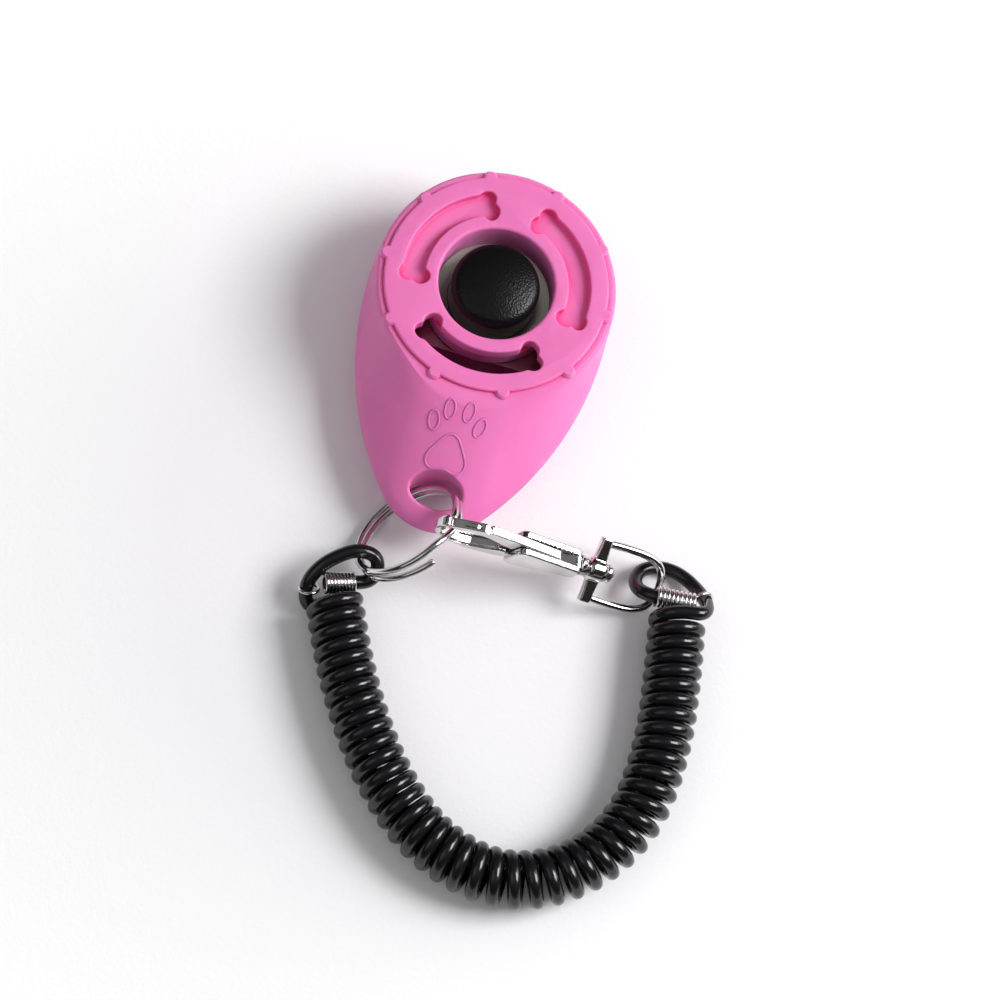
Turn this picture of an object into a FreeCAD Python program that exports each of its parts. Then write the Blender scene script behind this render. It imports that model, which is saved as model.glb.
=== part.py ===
import FreeCAD, Part
import math
import os
import Sketcher
from FreeCAD import Placement, Rotation, Vector

# Clicker trainer: an egg-shaped two-shell case with a sprung button over a steel click
# plate, a split ring through its tip, a trigger snap clasp on the ring, and a coiled
# wrist lead joined to the ring at one end and to the clasp's swivel bail at the other.
#
# Frame: millimetres, +Z up. The origin is on the flat underside, below the button's
# axis. +Y runs to the case's round end and -Y to the key-ring hole and the lead.

# Driving dimensions: alias, value, meaning.
DIMENSIONS = [
    ("seam_z", 8.0, "height of the joint between the two shells"),
    ("deck_z", 19.2, "height of the flat deck round the disc"),
    ("disc_z", 20.0, "height of the raised disc's face"),
    ("disc_radius", 20.0, "raised disc"),
    ("case_radius", 22.0, "round end of the case at the seam"),
    ("tip_reach", 44.0, "button axis to the tip of the case"),
    ("side_radius", 60.0, "long side arcs of the egg outline"),
    ("knob_radius", 1.3, "one of the ten round knobs on the disc's edge"),
    ("knob_foot_z", 16.0, "where the knobs start inside the case"),
    ("knob_phase", 0.0, "first knob's angle from +X, degrees"),
    ("hole_radius", 10.3, "button opening"),
    ("collar_radius", 12.3, "outside of the collar round the opening"),
    ("collar_foot_z", 12.6, "lower end of the collar"),
    ("bone_radius", 14.8, "middle of the bone-shaped recesses"),
    ("bone_half_width", 1.95, "half width of a recess's shaft"),
    ("outer_half_angle", 34.5, "centre of the shaft to its outer lobes, degrees"),
    ("inner_half_angle", 39.0, "centre of the shaft to its inner lobes, degrees"),
    ("lobe_radius", 1.8, "rounded lobe at a recess's end"),
    ("lobe_offset", 1.45, "lobe centre from the shaft's middle line"),
    ("bone_depth", 1.7, "depth of a closed recess"),
    ("slot_depth", 3.4, "depth of the open recess, right through the wall"),
    ("eye_y", 37.25, "key-ring hole's centre, towards the tip"),
    ("eye_half_length", 4.75, "key-ring hole, half its length across the case"),
    ("eye_half_width", 3.0, "key-ring hole, half its width along the case"),
    ("eye_flare", 0.65, "how much the hole widens all round at the underside"),
    ("eye_flare_z", 5.4, "top of that wider part"),
    ("boss_radius", 2.4, "screw boss in the upper shell"),
    ("foot_boss_radius", 2.8, "screw boss in the lower shell"),
    ("boss_x", 8.5, "rear screw bosses, sideways"),
    ("boss_y", 13.2, "rear screw bosses, towards the round end"),
    ("boss_top_z", 17.6, "upper end of the rear bosses and plate posts, inside the deck"),
    ("front_boss_y", 27.0, "front screw boss, towards the tip"),
    ("front_boss_top_z", 15.3, "upper end of the front boss, inside the sloping wall"),
    ("pilot_radius", 0.85, "pilot hole of a case screw"),
    ("pilot_depth", 6.2, "depth of that pilot hole"),
    ("screw_radius", 0.95, "case screw's shank"),
    ("clearance_radius", 1.2, "case screw's hole in the lower shell"),
    ("head_radius", 1.9, "case screw's head"),
    ("sink_radius", 2.15, "recess for a case screw's head"),
    ("sink_depth", 3.0, "depth of that recess"),
    ("plate_top_z", 12.3, "upper face of the click plate"),
    ("plate_thickness", 0.4, "click plate"),
    ("plate_left", 16.2, "click plate's fixed end, towards -X"),
    ("plate_right", 13.5, "click plate's free end, towards +X"),
    ("plate_front", 11.8, "click plate's edge towards the tip"),
    ("plate_rear", 10.4, "click plate's edge towards the round end"),
    ("plate_corner", 4.5, "click plate's corner radius"),
    ("post_x", 14.4, "plate posts, sideways"),
    ("post_y", 6.0, "plate posts, half their spacing"),
    ("post_radius", 1.9, "plate post"),
    ("post_pilot", 0.65, "pilot hole of a plate screw"),
    ("post_pilot_depth", 4.5, "depth of that pilot hole"),
    ("plate_screw_radius", 0.7, "plate screw's shank"),
    ("plate_head_radius", 1.5, "plate screw's head"),
    ("button_radius", 7.9, "button"),
    ("button_top_z", 20.8, "top of the button's dome"),
    ("button_shoulder_z", 18.0, "where the button's side starts to round over"),
    ("button_round", 1.9, "round between the button's side and dome"),
    ("stem_radius", 2.3, "button's stem through the click plate"),
    ("stem_hole_radius", 2.5, "stem's hole in the click plate"),
    ("stem_foot_z", 10.4, "lower end of the stem"),
    ("clip_radius", 3.9, "clip that holds the stem"),
    ("clip_thickness", 0.8, "clip"),
    ("ring_radius", 10.13, "split ring, to the middle of its wire"),
    ("ring_wire", 0.62, "split ring's wire radius"),
    ("ring_pitch", 1.27, "step from one turn of the ring to the next"),
    ("ring_spring", 1.15, "how far the ring's tail stands off the turn beside it"),
    ("hook_half", 1.15, "clasp's slim hook, half its thickness"),
    ("clasp_half", 2.25, "clasp body round the lever, half its thickness"),
    ("slot_half", 1.0, "lever slot in the clasp, half its width"),
    ("lever_half", 0.85, "lever, half its thickness"),
    ("pivot_x", 15.0, "lever's pin along the clasp"),
    ("pivot_z", 0.3, "lever's pin above the clasp's axis"),
    ("pivot_radius", 0.6, "lever's pin"),
    ("pin_radius", 1.3, "swivel pin"),
    ("bail_bore", 1.36, "bail's bore for the swivel pin"),
    ("bail_bar_x", 28.7, "bail's crossbar along the clasp"),
    ("bail_half", 5.1, "bail, half its width to the middle of its wire"),
    ("bail_centre_x", 36.2, "centre of the bail's round end"),
    ("bail_turn", 29.0, "how far the bail lies turned on its pin, degrees"),
    ("bail_wire", 0.75, "bail's wire radius"),
    ("cord_radius", 1.25, "wrist lead's cord"),
    ("coil_radius", 5.25, "outside of the wrist lead's coil"),
    ("coil_z", 5.3, "middle of the coil above the table"),
    ("wrap_radius", 2.0, "wire wrap at each end of the coil"),
    ("band_radius", 1.6, "single binding ring, to the middle of its wire"),
    ("band_wire", 0.33, "binding ring's wire radius"),
]

# Egg outlines: height, round-end radius, reach of the tip, tip radius. Each outline is a
# round end about the button axis, two long side arcs and a tip arc, all tangent.
UPPER_OUTLINES = [
    ("seam_z", "case_radius", "tip_reach", 11.5),
    (9.6, 21.95, 42.3, 11.5),
    (11.2, 21.9, 39.4, 11.5),
    (13.6, 21.8, 34.8, 11.5),
    (16.6, 21.6, 28.6, 12.0),
    ("deck_z", 20.8, 22.9, 15.0),
]
UPPER_CAVITY = [
    ("seam_z", 20.0, 31.5, 11.0),
    (12.0, 19.8, 31.0, 11.0),
    (15.0, 19.3, 27.0, 12.0),
    (17.3, 18.5, 21.5, 13.0),
]
LOWER_OUTLINES = [
    ("seam_z", "case_radius", "tip_reach", 11.5),
    (6.2, 21.8, 41.8, 11.5),
    (4.4, 21.3, 37.9, 11.5),
    (2.0, 20.2, 34.0, 11.0),
    (0.0, 18.2, 30.6, 11.0),
]
LOWER_CAVITY = [
    ("seam_z", 20.0, 31.5, 11.0),
    (5.0, 19.2, 30.8, 11.0),
    (2.0, 17.0, 28.2, 10.5),
]

KNOBS = 10
BONES = 3

# Where the split ring lies: its centre and the direction of its axis.
RING_CENTRE = Vector(-3.141, -44.941, 9.45)
RING_TILT = 50.8
RING_HEADING = 154.7
RING_START = 210.0
RING_SWEEP = 675.0

# The clasp's own frame: its origin is in the mouth of the hook, +X runs along the clasp
# to the bail and +Z points to the lever's side.
CLASP_ORIGIN = Vector(4.41, -44.94, 19.17)
CLASP_HEADING = 6.5
CLASP_DIP = 22.4

# Control points of the wrist lead. The coil lies on the table; each end loop climbs out
# of the coil, goes round what it holds and ends under its wire wrap.
COIL_ROUTE = [
    (-11.9, -59.6), (-8.4, -67.8), (-2.2, -78.6), (5.6, -88.9), (16.0, -97.4), (29.5, -100.3),
    (41.6, -94.6), (49.3, -83.5), (50.6, -69.5), (49.2, -56.5), (47.2, -45.3),
]
LEFT_LOOP = [
    (-15.6, -61.2, 5.3), (-17.0, -58.6, 5.8), (-15.8, -55.0, 6.8), (-13.0, -52.4, 7.4),
    (-9.9, -50.3, 7.4), (-6.5, -50.6, 6.4), (-6.2, -54.2, 4.3), (-10.0, -56.3, 5.3),
    (-15.0, -58.0, 6.4),
]
RIGHT_LOOP = [
    (50.4, -45.9, 5.2), (51.4, -42.6, 4.6), (49.4, -38.6, 2.9), (45.8, -36.1, 1.6),
    (41.8, -36.0, 1.4), (38.5, -38.2, 2.2), (38.7, -42.0, 4.7), (41.2, -43.3, 6.9),
    (45.0, -43.0, 7.2), (49.8, -42.6, 7.2),
]
LEFT_WRAP = (Vector(-10.0, -56.3, 5.3), Vector(-15.0, -58.0, 6.4))
RIGHT_WRAP = (Vector(42.9, -43.15, 7.05), Vector(49.2, -42.65, 7.19))

doc = FreeCAD.newDocument("clicker_trainer")
sheet = doc.addObject("Spreadsheet::Sheet", "dims")
for row, (alias, value, meaning) in enumerate(DIMENSIONS, 1):
    sheet.set(f"A{row}", meaning)
    sheet.set(f"B{row}", str(value))
    sheet.setAlias(f"B{row}", alias)
doc.recompute()


def size(alias):
    """The number in the cell with this alias."""
    return float(sheet.get(alias))


def number(value):
    return size(value) if isinstance(value, str) else float(value)


def formula(value):
    return f"dims.{value}" if isinstance(value, str) else str(value)


# ---------------------------------------------------------------- PartDesign helpers

def new_body(label):
    body = doc.addObject("PartDesign::Body", label)
    body.Label = label
    return body


def new_sketch(body, name, height, role="XY_Plane"):
    """A sketch on one of the body's own origin planes, lifted by an expression."""
    sketch = body.newObject("Sketcher::SketchObject", name)
    plane = next(f for f in body.Origin.OriginFeatures if f.Role == role)
    sketch.AttachmentSupport = [(plane, "")]
    sketch.MapMode = "FlatFace"
    sketch.setExpression("AttachmentOffset.Base.z", height)
    return sketch


def bind(sketch, index, expression):
    sketch.setExpression(f"Constraints[{index}]", expression)


def add_circle(sketch, x, y, radius, x_rule=None, y_rule=None, radius_rule=None):
    """A circle held by its centre and radius, each bound to the sheet where a rule is given."""
    circle = sketch.addGeometry(Part.Circle(Vector(x, y, 0), Vector(0, 0, 1), radius))
    rules = (
        (Sketcher.Constraint("DistanceX", -1, 1, circle, 3, x), x_rule),
        (Sketcher.Constraint("DistanceY", -1, 1, circle, 3, y), y_rule),
        (Sketcher.Constraint("Radius", circle, radius), radius_rule),
    )
    for constraint, rule in rules:
        index = sketch.addConstraint(constraint)
        if rule:
            bind(sketch, index, rule)


def add_egg(sketch, end_radius, reach, tip_radius):
    """The egg outline: four tangent arcs, symmetric about the Y axis."""
    big, tip_y, tip_r, side = number(end_radius), number(reach), number(tip_radius), size("side_radius")
    drop = tip_y - tip_r
    side_y = ((side - tip_r) ** 2 - (side - big) ** 2 - drop ** 2) / (2 * drop)
    side_x = math.sqrt((side - big) ** 2 - side_y ** 2)
    upper = math.atan2(-side_y, side_x)
    lower = math.atan2(-drop - side_y, side_x)
    half = math.pi
    arcs = (
        (Vector(0, 0, 0), big, upper, half - upper),
        (Vector(side_x, side_y, 0), side, half - upper, half - lower),
        (Vector(0, -drop, 0), tip_r, half - lower, 2 * half + lower),
        (Vector(-side_x, side_y, 0), side, lower, upper),
    )
    for centre, radius, start, end in arcs:
        sketch.addGeometry(Part.ArcOfCircle(Part.Circle(centre, Vector(0, 0, 1), radius), start, end))
    for first in range(4):
        sketch.addConstraint(Sketcher.Constraint("Tangent", first, 2, (first + 1) % 4, 1))
    sketch.addConstraint(Sketcher.Constraint("Coincident", 0, 3, -1, 1))
    sketch.addConstraint(Sketcher.Constraint("PointOnObject", 2, 3, -2))
    sketch.addConstraint(Sketcher.Constraint("Equal", 1, 3))
    bind(sketch, sketch.addConstraint(Sketcher.Constraint("Radius", 0, big)), formula(end_radius))
    bind(sketch, sketch.addConstraint(Sketcher.Constraint("Radius", 1, side)), "dims.side_radius")
    bind(sketch, sketch.addConstraint(Sketcher.Constraint("Radius", 2, tip_r)), formula(tip_radius))
    reach_rule = f"{formula(reach)} - {formula(tip_radius)}"
    bind(sketch, sketch.addConstraint(Sketcher.Constraint("DistanceY", 2, 3, -1, 1, drop)), reach_rule)


def egg_loft(body, kind, name, outlines):
    """A smooth solid, or cavity, through a stack of egg outlines."""
    sections = []
    for index, (height, end_radius, reach, tip_radius) in enumerate(outlines):
        sketch = new_sketch(body, f"{name}_{index}", formula(height))
        add_egg(sketch, end_radius, reach, tip_radius)
        sections.append(sketch)
    loft = body.newObject(f"PartDesign::{kind}Loft", name)
    loft.Profile = sections[0]
    loft.Sections = sections[1:]
    loft.Ruled = False
    return loft


def pad(body, sketch, length, reverse=False):
    feature = body.newObject("PartDesign::Pad", f"{sketch.Name}_pad")
    feature.Profile = sketch
    feature.setExpression("Length", length)
    feature.Reversed = reverse
    return feature


def pocket(body, sketch, depth, reverse=False):
    """Cuts below the sketch, or above it when reversed, and checks that it did."""
    doc.recompute()
    before = body.Shape.Volume
    feature = body.newObject("PartDesign::Pocket", f"{sketch.Name}_pocket")
    feature.Profile = sketch
    feature.setExpression("Length", depth)
    feature.Reversed = reverse
    doc.recompute()
    if body.Shape.Volume > before - 0.01:
        raise RuntimeError(f"{feature.Name} cuts nothing")
    return feature


def polar(body, features, count, name):
    pattern = body.newObject("PartDesign::PolarPattern", name)
    pattern.Originals = features
    axis = next(f for f in body.Origin.OriginFeatures if f.Role == "Z_Axis")
    pattern.Axis = (axis, [""])
    pattern.Angle = 360
    pattern.Occurrences = count
    body.Tip = pattern
    return pattern


def soften(body, name, radius, chosen):
    """Rounds the edges that the test picks from the body's present shape."""
    doc.recompute()
    edges = [f"Edge{i}" for i, edge in enumerate(body.Shape.Edges, 1) if chosen(edge)]
    if not edges:
        raise RuntimeError(f"{name} finds no edge")
    base = body.Tip
    fillet = body.newObject("PartDesign::Fillet", name)
    fillet.Base = (base, edges)
    fillet.Radius = radius
    doc.recompute()
    if not fillet.isValid() or not body.Shape.isValid():
        raise RuntimeError(f"{name} fails")
    return fillet


def circle_edge(radius, height):
    """Picks full circles and arcs of this radius at this height."""
    def test(edge):
        curve = edge.Curve
        return (isinstance(curve, Part.Circle) and abs(curve.Radius - radius) < 0.01
                and abs(curve.Center.z - height) < 0.01)
    return test


# ---------------------------------------------------------------- case

def eye_sketch(body, name, height, wider="0"):
    """The key-ring hole: an oval across the case, widened all round where asked."""
    sketch = new_sketch(body, name, height)
    extra = number(wider) if wider != "0" else 0.0
    half, width, y = size("eye_half_length") + extra, size("eye_half_width") + extra, -size("eye_y")
    rule = formula(wider) if wider != "0" else "0"
    oval = Part.Ellipse(Vector(half, y, 0), Vector(0, y + width, 0), Vector(0, y, 0))
    sketch.addGeometry(oval)
    sketch.exposeInternalGeometry(0)
    bind(sketch, sketch.addConstraint(Sketcher.Constraint("DistanceY", 0, 3, -1, 1, -y)), "dims.eye_y")
    sketch.addConstraint(Sketcher.Constraint("PointOnObject", 0, 3, -2))
    sketch.addConstraint(Sketcher.Constraint("Horizontal", 1))
    bind(sketch, sketch.addConstraint(Sketcher.Constraint("Distance", 1, 2 * half)), f"2 * (dims.eye_half_length + {rule})")
    bind(sketch, sketch.addConstraint(Sketcher.Constraint("Distance", 2, 2 * width)), f"2 * (dims.eye_half_width + {rule})")
    return sketch


def bone_features(body, name, heading, depth):
    """Pockets that together cut one curved bone-shaped recess about this heading."""
    middle, half, spread = size("bone_radius"), size("bone_half_width"), size("outer_half_angle")
    lobe, offset = size("lobe_radius"), size("lobe_offset")
    start, end = math.radians(heading - spread), math.radians(heading + spread)
    up = Vector(0, 0, 1)

    shaft = new_sketch(body, f"{name}_shaft", "dims.disc_z")
    outer, inner = Part.Circle(Vector(), up, middle + half), Part.Circle(Vector(), up, middle - half)
    shaft.addGeometry(Part.ArcOfCircle(outer, start, end))
    shaft.addGeometry(Part.ArcOfCircle(inner, start, end))
    for angle, point in ((start, 1), (end, 2)):
        ray = Vector(math.cos(angle), math.sin(angle), 0)
        line = shaft.addGeometry(Part.LineSegment(ray * (middle - half), ray * (middle + half)))
        shaft.addConstraint(Sketcher.Constraint("Coincident", line, 1, 1, point))
        shaft.addConstraint(Sketcher.Constraint("Coincident", line, 2, 0, point))
    shaft.addConstraint(Sketcher.Constraint("Coincident", 0, 3, -1, 1))
    shaft.addConstraint(Sketcher.Constraint("Coincident", 1, 3, -1, 1))
    bind(shaft, shaft.addConstraint(Sketcher.Constraint("Radius", 0, middle + half)),
         "dims.bone_radius + dims.bone_half_width")
    bind(shaft, shaft.addConstraint(Sketcher.Constraint("Radius", 1, middle - half)),
         "dims.bone_radius - dims.bone_half_width")
    cuts = [pocket(body, shaft, depth)]

    for side, sign in (("outer", 1), ("inner", -1)):
        lobes = new_sketch(body, f"{name}_{side}_lobes", "dims.disc_z")
        for rule, way in (("-", -1), ("+", 1)):
            angle = math.radians(heading + way * size(f"{side}_half_angle"))
            reach = f"(dims.bone_radius + {sign} * dims.lobe_offset)"
            turn = f"({heading} {rule} dims.{side}_half_angle) * 1 deg"
            radius = middle + sign * offset
            add_circle(lobes, radius * math.cos(angle), radius * math.sin(angle), lobe,
                       f"{reach} * cos({turn})", f"{reach} * sin({turn})", "dims.lobe_radius")
        cuts.append(pocket(body, lobes, depth))
    return cuts


def boss_sketch(body, name, height, radius, rear=True, front=True):
    """Circles on the centres of the rear pair of case screws, of the front one, or both."""
    sketch = new_sketch(body, name, height)
    x, y, r = size("boss_x"), size("boss_y"), size(radius)
    if rear:
        add_circle(sketch, x, y, r, "dims.boss_x", "dims.boss_y", f"dims.{radius}")
        add_circle(sketch, -x, y, r, "-dims.boss_x", "dims.boss_y", f"dims.{radius}")
    if front:
        add_circle(sketch, 0, -size("front_boss_y"), r, None, "-dims.front_boss_y", f"dims.{radius}")
    return sketch


def upper_shell():
    body = new_body("upper_shell")
    egg_loft(body, "Additive", "upper_outside", UPPER_OUTLINES)

    disc = new_sketch(body, "disc", "dims.deck_z")
    add_circle(disc, 0, 0, size("disc_radius"), radius_rule="dims.disc_radius")
    pad(body, disc, "dims.disc_z - dims.deck_z")

    knob = new_sketch(body, "knob", "dims.knob_foot_z")
    phase = math.radians(size("knob_phase"))
    reach = size("disc_radius")
    add_circle(knob, reach * math.cos(phase), reach * math.sin(phase), size("knob_radius"),
               "dims.disc_radius * cos(dims.knob_phase * 1 deg)",
               "dims.disc_radius * sin(dims.knob_phase * 1 deg)", "dims.knob_radius")
    knob_pad = pad(body, knob, "dims.disc_z - dims.knob_foot_z")
    doc.recompute()
    polar(body, [knob_pad], KNOBS, "knobs")

    egg_loft(body, "Subtractive", "upper_cavity", UPPER_CAVITY)

    collar = new_sketch(body, "collar", "dims.collar_foot_z")
    add_circle(collar, 0, 0, size("collar_radius"), radius_rule="dims.collar_radius")
    pad(body, collar, "dims.deck_z - dims.collar_foot_z - 1")

    rear = boss_sketch(body, "rear_bosses", "dims.seam_z", "boss_radius", front=False)
    pad(body, rear, "dims.boss_top_z - dims.seam_z")
    front = boss_sketch(body, "front_boss", "dims.seam_z", "boss_radius", rear=False)
    pad(body, front, "dims.front_boss_top_z - dims.seam_z")
    for side in (-1, 1):
        posts = new_sketch(body, f"posts_{'left' if side < 0 else 'right'}", "dims.plate_top_z")
        for across in (-1, 1):
            add_circle(posts, side * size("post_x"), across * size("post_y"), size("post_radius"),
                       f"{side} * dims.post_x", f"{across} * dims.post_y", "dims.post_radius")
        pad(body, posts, "dims.boss_top_z - dims.plate_top_z")

    opening = new_sketch(body, "opening", "dims.disc_z")
    add_circle(opening, 0, 0, size("hole_radius"), radius_rule="dims.hole_radius")
    pocket(body, opening, "dims.disc_z - dims.collar_foot_z")

    closed = bone_features(body, "bone", 30, "dims.bone_depth")
    polar(body, closed, BONES, "bones")
    bone_features(body, "slot", 270, "dims.slot_depth")

    pocket(body, eye_sketch(body, "eye", "dims.disc_z"), "dims.disc_z - dims.seam_z")
    pocket(body, boss_sketch(body, "pilots", "dims.seam_z", "pilot_radius"), "dims.pilot_depth", reverse=True)
    post_pilots = new_sketch(body, "post_pilots", "dims.plate_top_z")
    for across in (-1, 1):
        add_circle(post_pilots, -size("post_x"), across * size("post_y"), size("post_pilot"),
                   "-dims.post_x", f"{across} * dims.post_y", "dims.post_pilot")
    pocket(body, post_pilots, "dims.post_pilot_depth", reverse=True)

    soften(body, "opening_rim", 0.5, circle_edge(size("hole_radius"), size("disc_z")))
    return body


def lower_shell():
    body = new_body("lower_shell")
    egg_loft(body, "Additive", "lower_outside", LOWER_OUTLINES)
    egg_loft(body, "Subtractive", "lower_cavity", LOWER_CAVITY)
    pad(body, boss_sketch(body, "lower_bosses", "1.5", "foot_boss_radius"), "dims.seam_z - 1.5")
    pocket(body, boss_sketch(body, "sinks", "0", "sink_radius"), "dims.sink_depth", reverse=True)
    pocket(body, boss_sketch(body, "clearances", "0", "clearance_radius"), "dims.seam_z", reverse=True)
    pocket(body, eye_sketch(body, "lower_eye", "dims.seam_z"), "dims.seam_z")
    pocket(body, eye_sketch(body, "eye_mouth", "dims.eye_flare_z", "eye_flare"), "dims.eye_flare_z")
    return body


# ---------------------------------------------------------------- button and click plate

def revolved(label, name, points, arcs):
    """A body turned about Z from an outline in the XZ plane. arcs maps the index of an
    outline side to the middle point of its arc; the other sides are straight."""
    body = new_body(label)
    sketch = new_sketch(body, name, "0", role="XZ_Plane")
    corners = [Vector(x, z, 0) for x, z in points]
    for index, start in enumerate(corners):
        end = corners[(index + 1) % len(corners)]
        if index in arcs:
            middle = Vector(*arcs[index], 0)
            sketch.addGeometry(Part.Arc(start, middle, end))
        else:
            sketch.addGeometry(Part.LineSegment(start, end))
    turn = body.newObject("PartDesign::Revolution", f"{name}_turn")
    turn.Profile = sketch
    turn.ReferenceAxis = (sketch, ["V_Axis"])
    turn.Angle = 360
    return body


def button_cap():
    foot = size("plate_top_z") + 0.05
    radius, top, shoulder = size("button_radius"), size("button_top_z"), size("button_shoulder_z")
    edge = size("button_round")
    stem, stem_foot = size("stem_radius"), size("stem_foot_z")
    diagonal = edge * math.sqrt(0.5)
    rim, rise = radius - edge, top - shoulder - edge
    dome = (rim ** 2 + rise ** 2) / (2 * rise)
    half_way = math.asin(rim / dome) / 2
    dome_side = (dome * math.sin(half_way), top - dome * (1 - math.cos(half_way)))
    points = [(0, stem_foot), (stem, stem_foot), (stem, foot), (radius, foot), (radius, shoulder),
              (rim, shoulder + edge), (0, top)]
    arcs = {4: (rim + diagonal, shoulder + diagonal), 5: dome_side}
    return revolved("button_cap", "button_profile", points, arcs)


def button_clip():
    top = size("plate_top_z") - size("plate_thickness") - 0.05
    foot = top - size("clip_thickness")
    inner, outer = size("stem_radius"), size("clip_radius")
    return revolved("button_clip", "clip_profile", [(inner, foot), (outer, foot), (outer, top), (inner, top)], {})


def click_plate():
    body = new_body("click_plate")
    sketch = new_sketch(body, "plate", "dims.plate_top_z - dims.plate_thickness")
    left, right, corner = -size("plate_left"), size("plate_right"), size("plate_corner")
    front, rear = -size("plate_front"), size("plate_rear")
    up, quarter = Vector(0, 0, 1), math.pi / 2
    corners = [(right - corner, rear - corner), (left + corner, rear - corner),
               (left + corner, front + corner), (right - corner, front + corner)]
    for index, (x, y) in enumerate(corners):
        start = index * quarter
        sketch.addGeometry(Part.ArcOfCircle(Part.Circle(Vector(x, y, 0), up, corner), start, start + quarter))
        after_x, after_y = corners[(index + 1) % 4]
        turn = start + quarter
        reach = Vector(math.cos(turn), math.sin(turn), 0) * corner
        sketch.addGeometry(Part.LineSegment(Vector(x, y, 0) + reach, Vector(after_x, after_y, 0) + reach))
    for first in range(8):
        sketch.addConstraint(Sketcher.Constraint("Tangent", first, 2, (first + 1) % 8, 1))
    for arc in (2, 4, 6):
        sketch.addConstraint(Sketcher.Constraint("Equal", 0, arc))
    sketch.addConstraint(Sketcher.Constraint("Horizontal", 1))
    sketch.addConstraint(Sketcher.Constraint("Vertical", 3))
    bind(sketch, sketch.addConstraint(Sketcher.Constraint("Radius", 0, corner)), "dims.plate_corner")
    bind(sketch, sketch.addConstraint(Sketcher.Constraint("DistanceX", -1, 1, 7, 1, right)), "dims.plate_right")
    bind(sketch, sketch.addConstraint(Sketcher.Constraint("DistanceX", 3, 1, -1, 1, -left)), "dims.plate_left")
    bind(sketch, sketch.addConstraint(Sketcher.Constraint("DistanceY", -1, 1, 1, 1, rear)),
         "dims.plate_rear")
    bind(sketch, sketch.addConstraint(Sketcher.Constraint("DistanceY", 5, 1, -1, 1, -front)),
         "dims.plate_front")
    pad(body, sketch, "dims.plate_thickness")
    holes = new_sketch(body, "plate_holes", "dims.plate_top_z")
    add_circle(holes, 0, 0, size("stem_hole_radius"), radius_rule="dims.stem_hole_radius")
    for across in (-1, 1):
        add_circle(holes, -size("post_x"), across * size("post_y"), size("plate_screw_radius") + 0.1,
                   "-dims.post_x", f"{across} * dims.post_y", "dims.plate_screw_radius + 0.1")
    pocket(body, holes, "dims.plate_thickness")
    return body


# ---------------------------------------------------------------- Part features

def feature(label, shape, placement=None):
    part = doc.addObject("Part::Feature", label)
    part.Label = label
    part.Shape = shape
    if placement:
        part.Placement = placement
    return part


def screw(foot, head_radius, head_height, shank_radius, length, driver):
    """A pan-head screw pointing up, with a cross recess in its head."""
    head = Part.makeCylinder(head_radius, head_height, foot)
    head = head.makeFillet(head_height * 0.35, [e for e in head.Edges if abs(e.BoundBox.ZMax - foot.z) < 0.01])
    shank = Part.makeCylinder(shank_radius, length, foot + Vector(0, 0, head_height))
    solid = head.fuse(shank)
    for long_side, short_side in ((driver, driver / 4), (driver / 4, driver)):
        recess = Part.makeBox(long_side, short_side, head_height * 0.55,
                              foot - Vector(long_side / 2, short_side / 2, 0))
        solid = solid.cut(recess)
    return solid.removeSplitter()


def case_screws():
    x, y, front = size("boss_x"), size("boss_y"), size("front_boss_y")
    head_height = 1.3
    foot_z = size("sink_depth") - head_height
    places = [(x, y), (-x, y), (0, -front)]
    screws = [screw(Vector(px, py, foot_z), size("head_radius"), head_height, size("screw_radius"), 10.5, 2.0)
              for px, py in places]
    return feature("case_screws", Part.makeCompound(screws))


def plate_screws():
    head_height = 0.9
    foot_z = size("plate_top_z") - size("plate_thickness") - head_height
    screws = [screw(Vector(-size("post_x"), across * size("post_y"), foot_z), size("plate_head_radius"),
                    head_height, size("plate_screw_radius"), 4.2, 1.6) for across in (-1, 1)]
    return feature("plate_screws", Part.makeCompound(screws))


def ring_placement():
    axis = Rotation(Vector(0, 0, 1), RING_HEADING) * Rotation(Vector(0, 1, 0), RING_TILT)
    return Placement(RING_CENTRE, axis)


def split_ring():
    """One wire in two flat turns, stepping across beside its first end, its tail sprung off."""
    radius, pitch, spring = size("ring_radius"), size("ring_pitch"), size("ring_spring")
    points = []
    for index in range(91):
        turned = RING_SWEEP * index / 90
        step = min(max((turned - 318) / 42, 0), 1)
        offset = -pitch * step * step * (3 - 2 * step) - spring * max((turned - 540) / 135, 0) ** 1.6
        angle = math.radians(RING_START + turned)
        points.append(Vector(radius * math.cos(angle), radius * math.sin(angle), offset))
    line = Part.BSplineCurve()
    line.interpolate(points)
    profile = Part.Wire(Part.makeCircle(size("ring_wire"), points[0], line.tangent(line.FirstParameter)[0]))
    turns = Part.Wire(line.toShape()).makePipeShell([profile], True, False)
    return feature("split_ring", turns, ring_placement())


def clasp_placement():
    return Placement(CLASP_ORIGIN, Rotation(Vector(0, 0, 1), CLASP_HEADING) * Rotation(Vector(0, 1, 0), CLASP_DIP))


def slab(steps, half):
    """A flat piece of the clasp: an outline in its XZ plane, thick both ways along Y.
    Each step is an end point, with a middle point before it where the side is an arc."""
    points = [Vector(x, -half, z) for x, z in (step[-1] for step in steps)]
    edges = []
    for index, step in enumerate(steps):
        start, end = points[index - 1], points[index]
        if len(step) == 2:
            edges.append(Part.Arc(start, Vector(step[0][0], -half, step[0][1]), end).toShape())
        else:
            edges.append(Part.LineSegment(start, end).toShape())
    return Part.Face(Part.Wire(edges)).extrude(Vector(0, 2 * half, 0))


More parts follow.
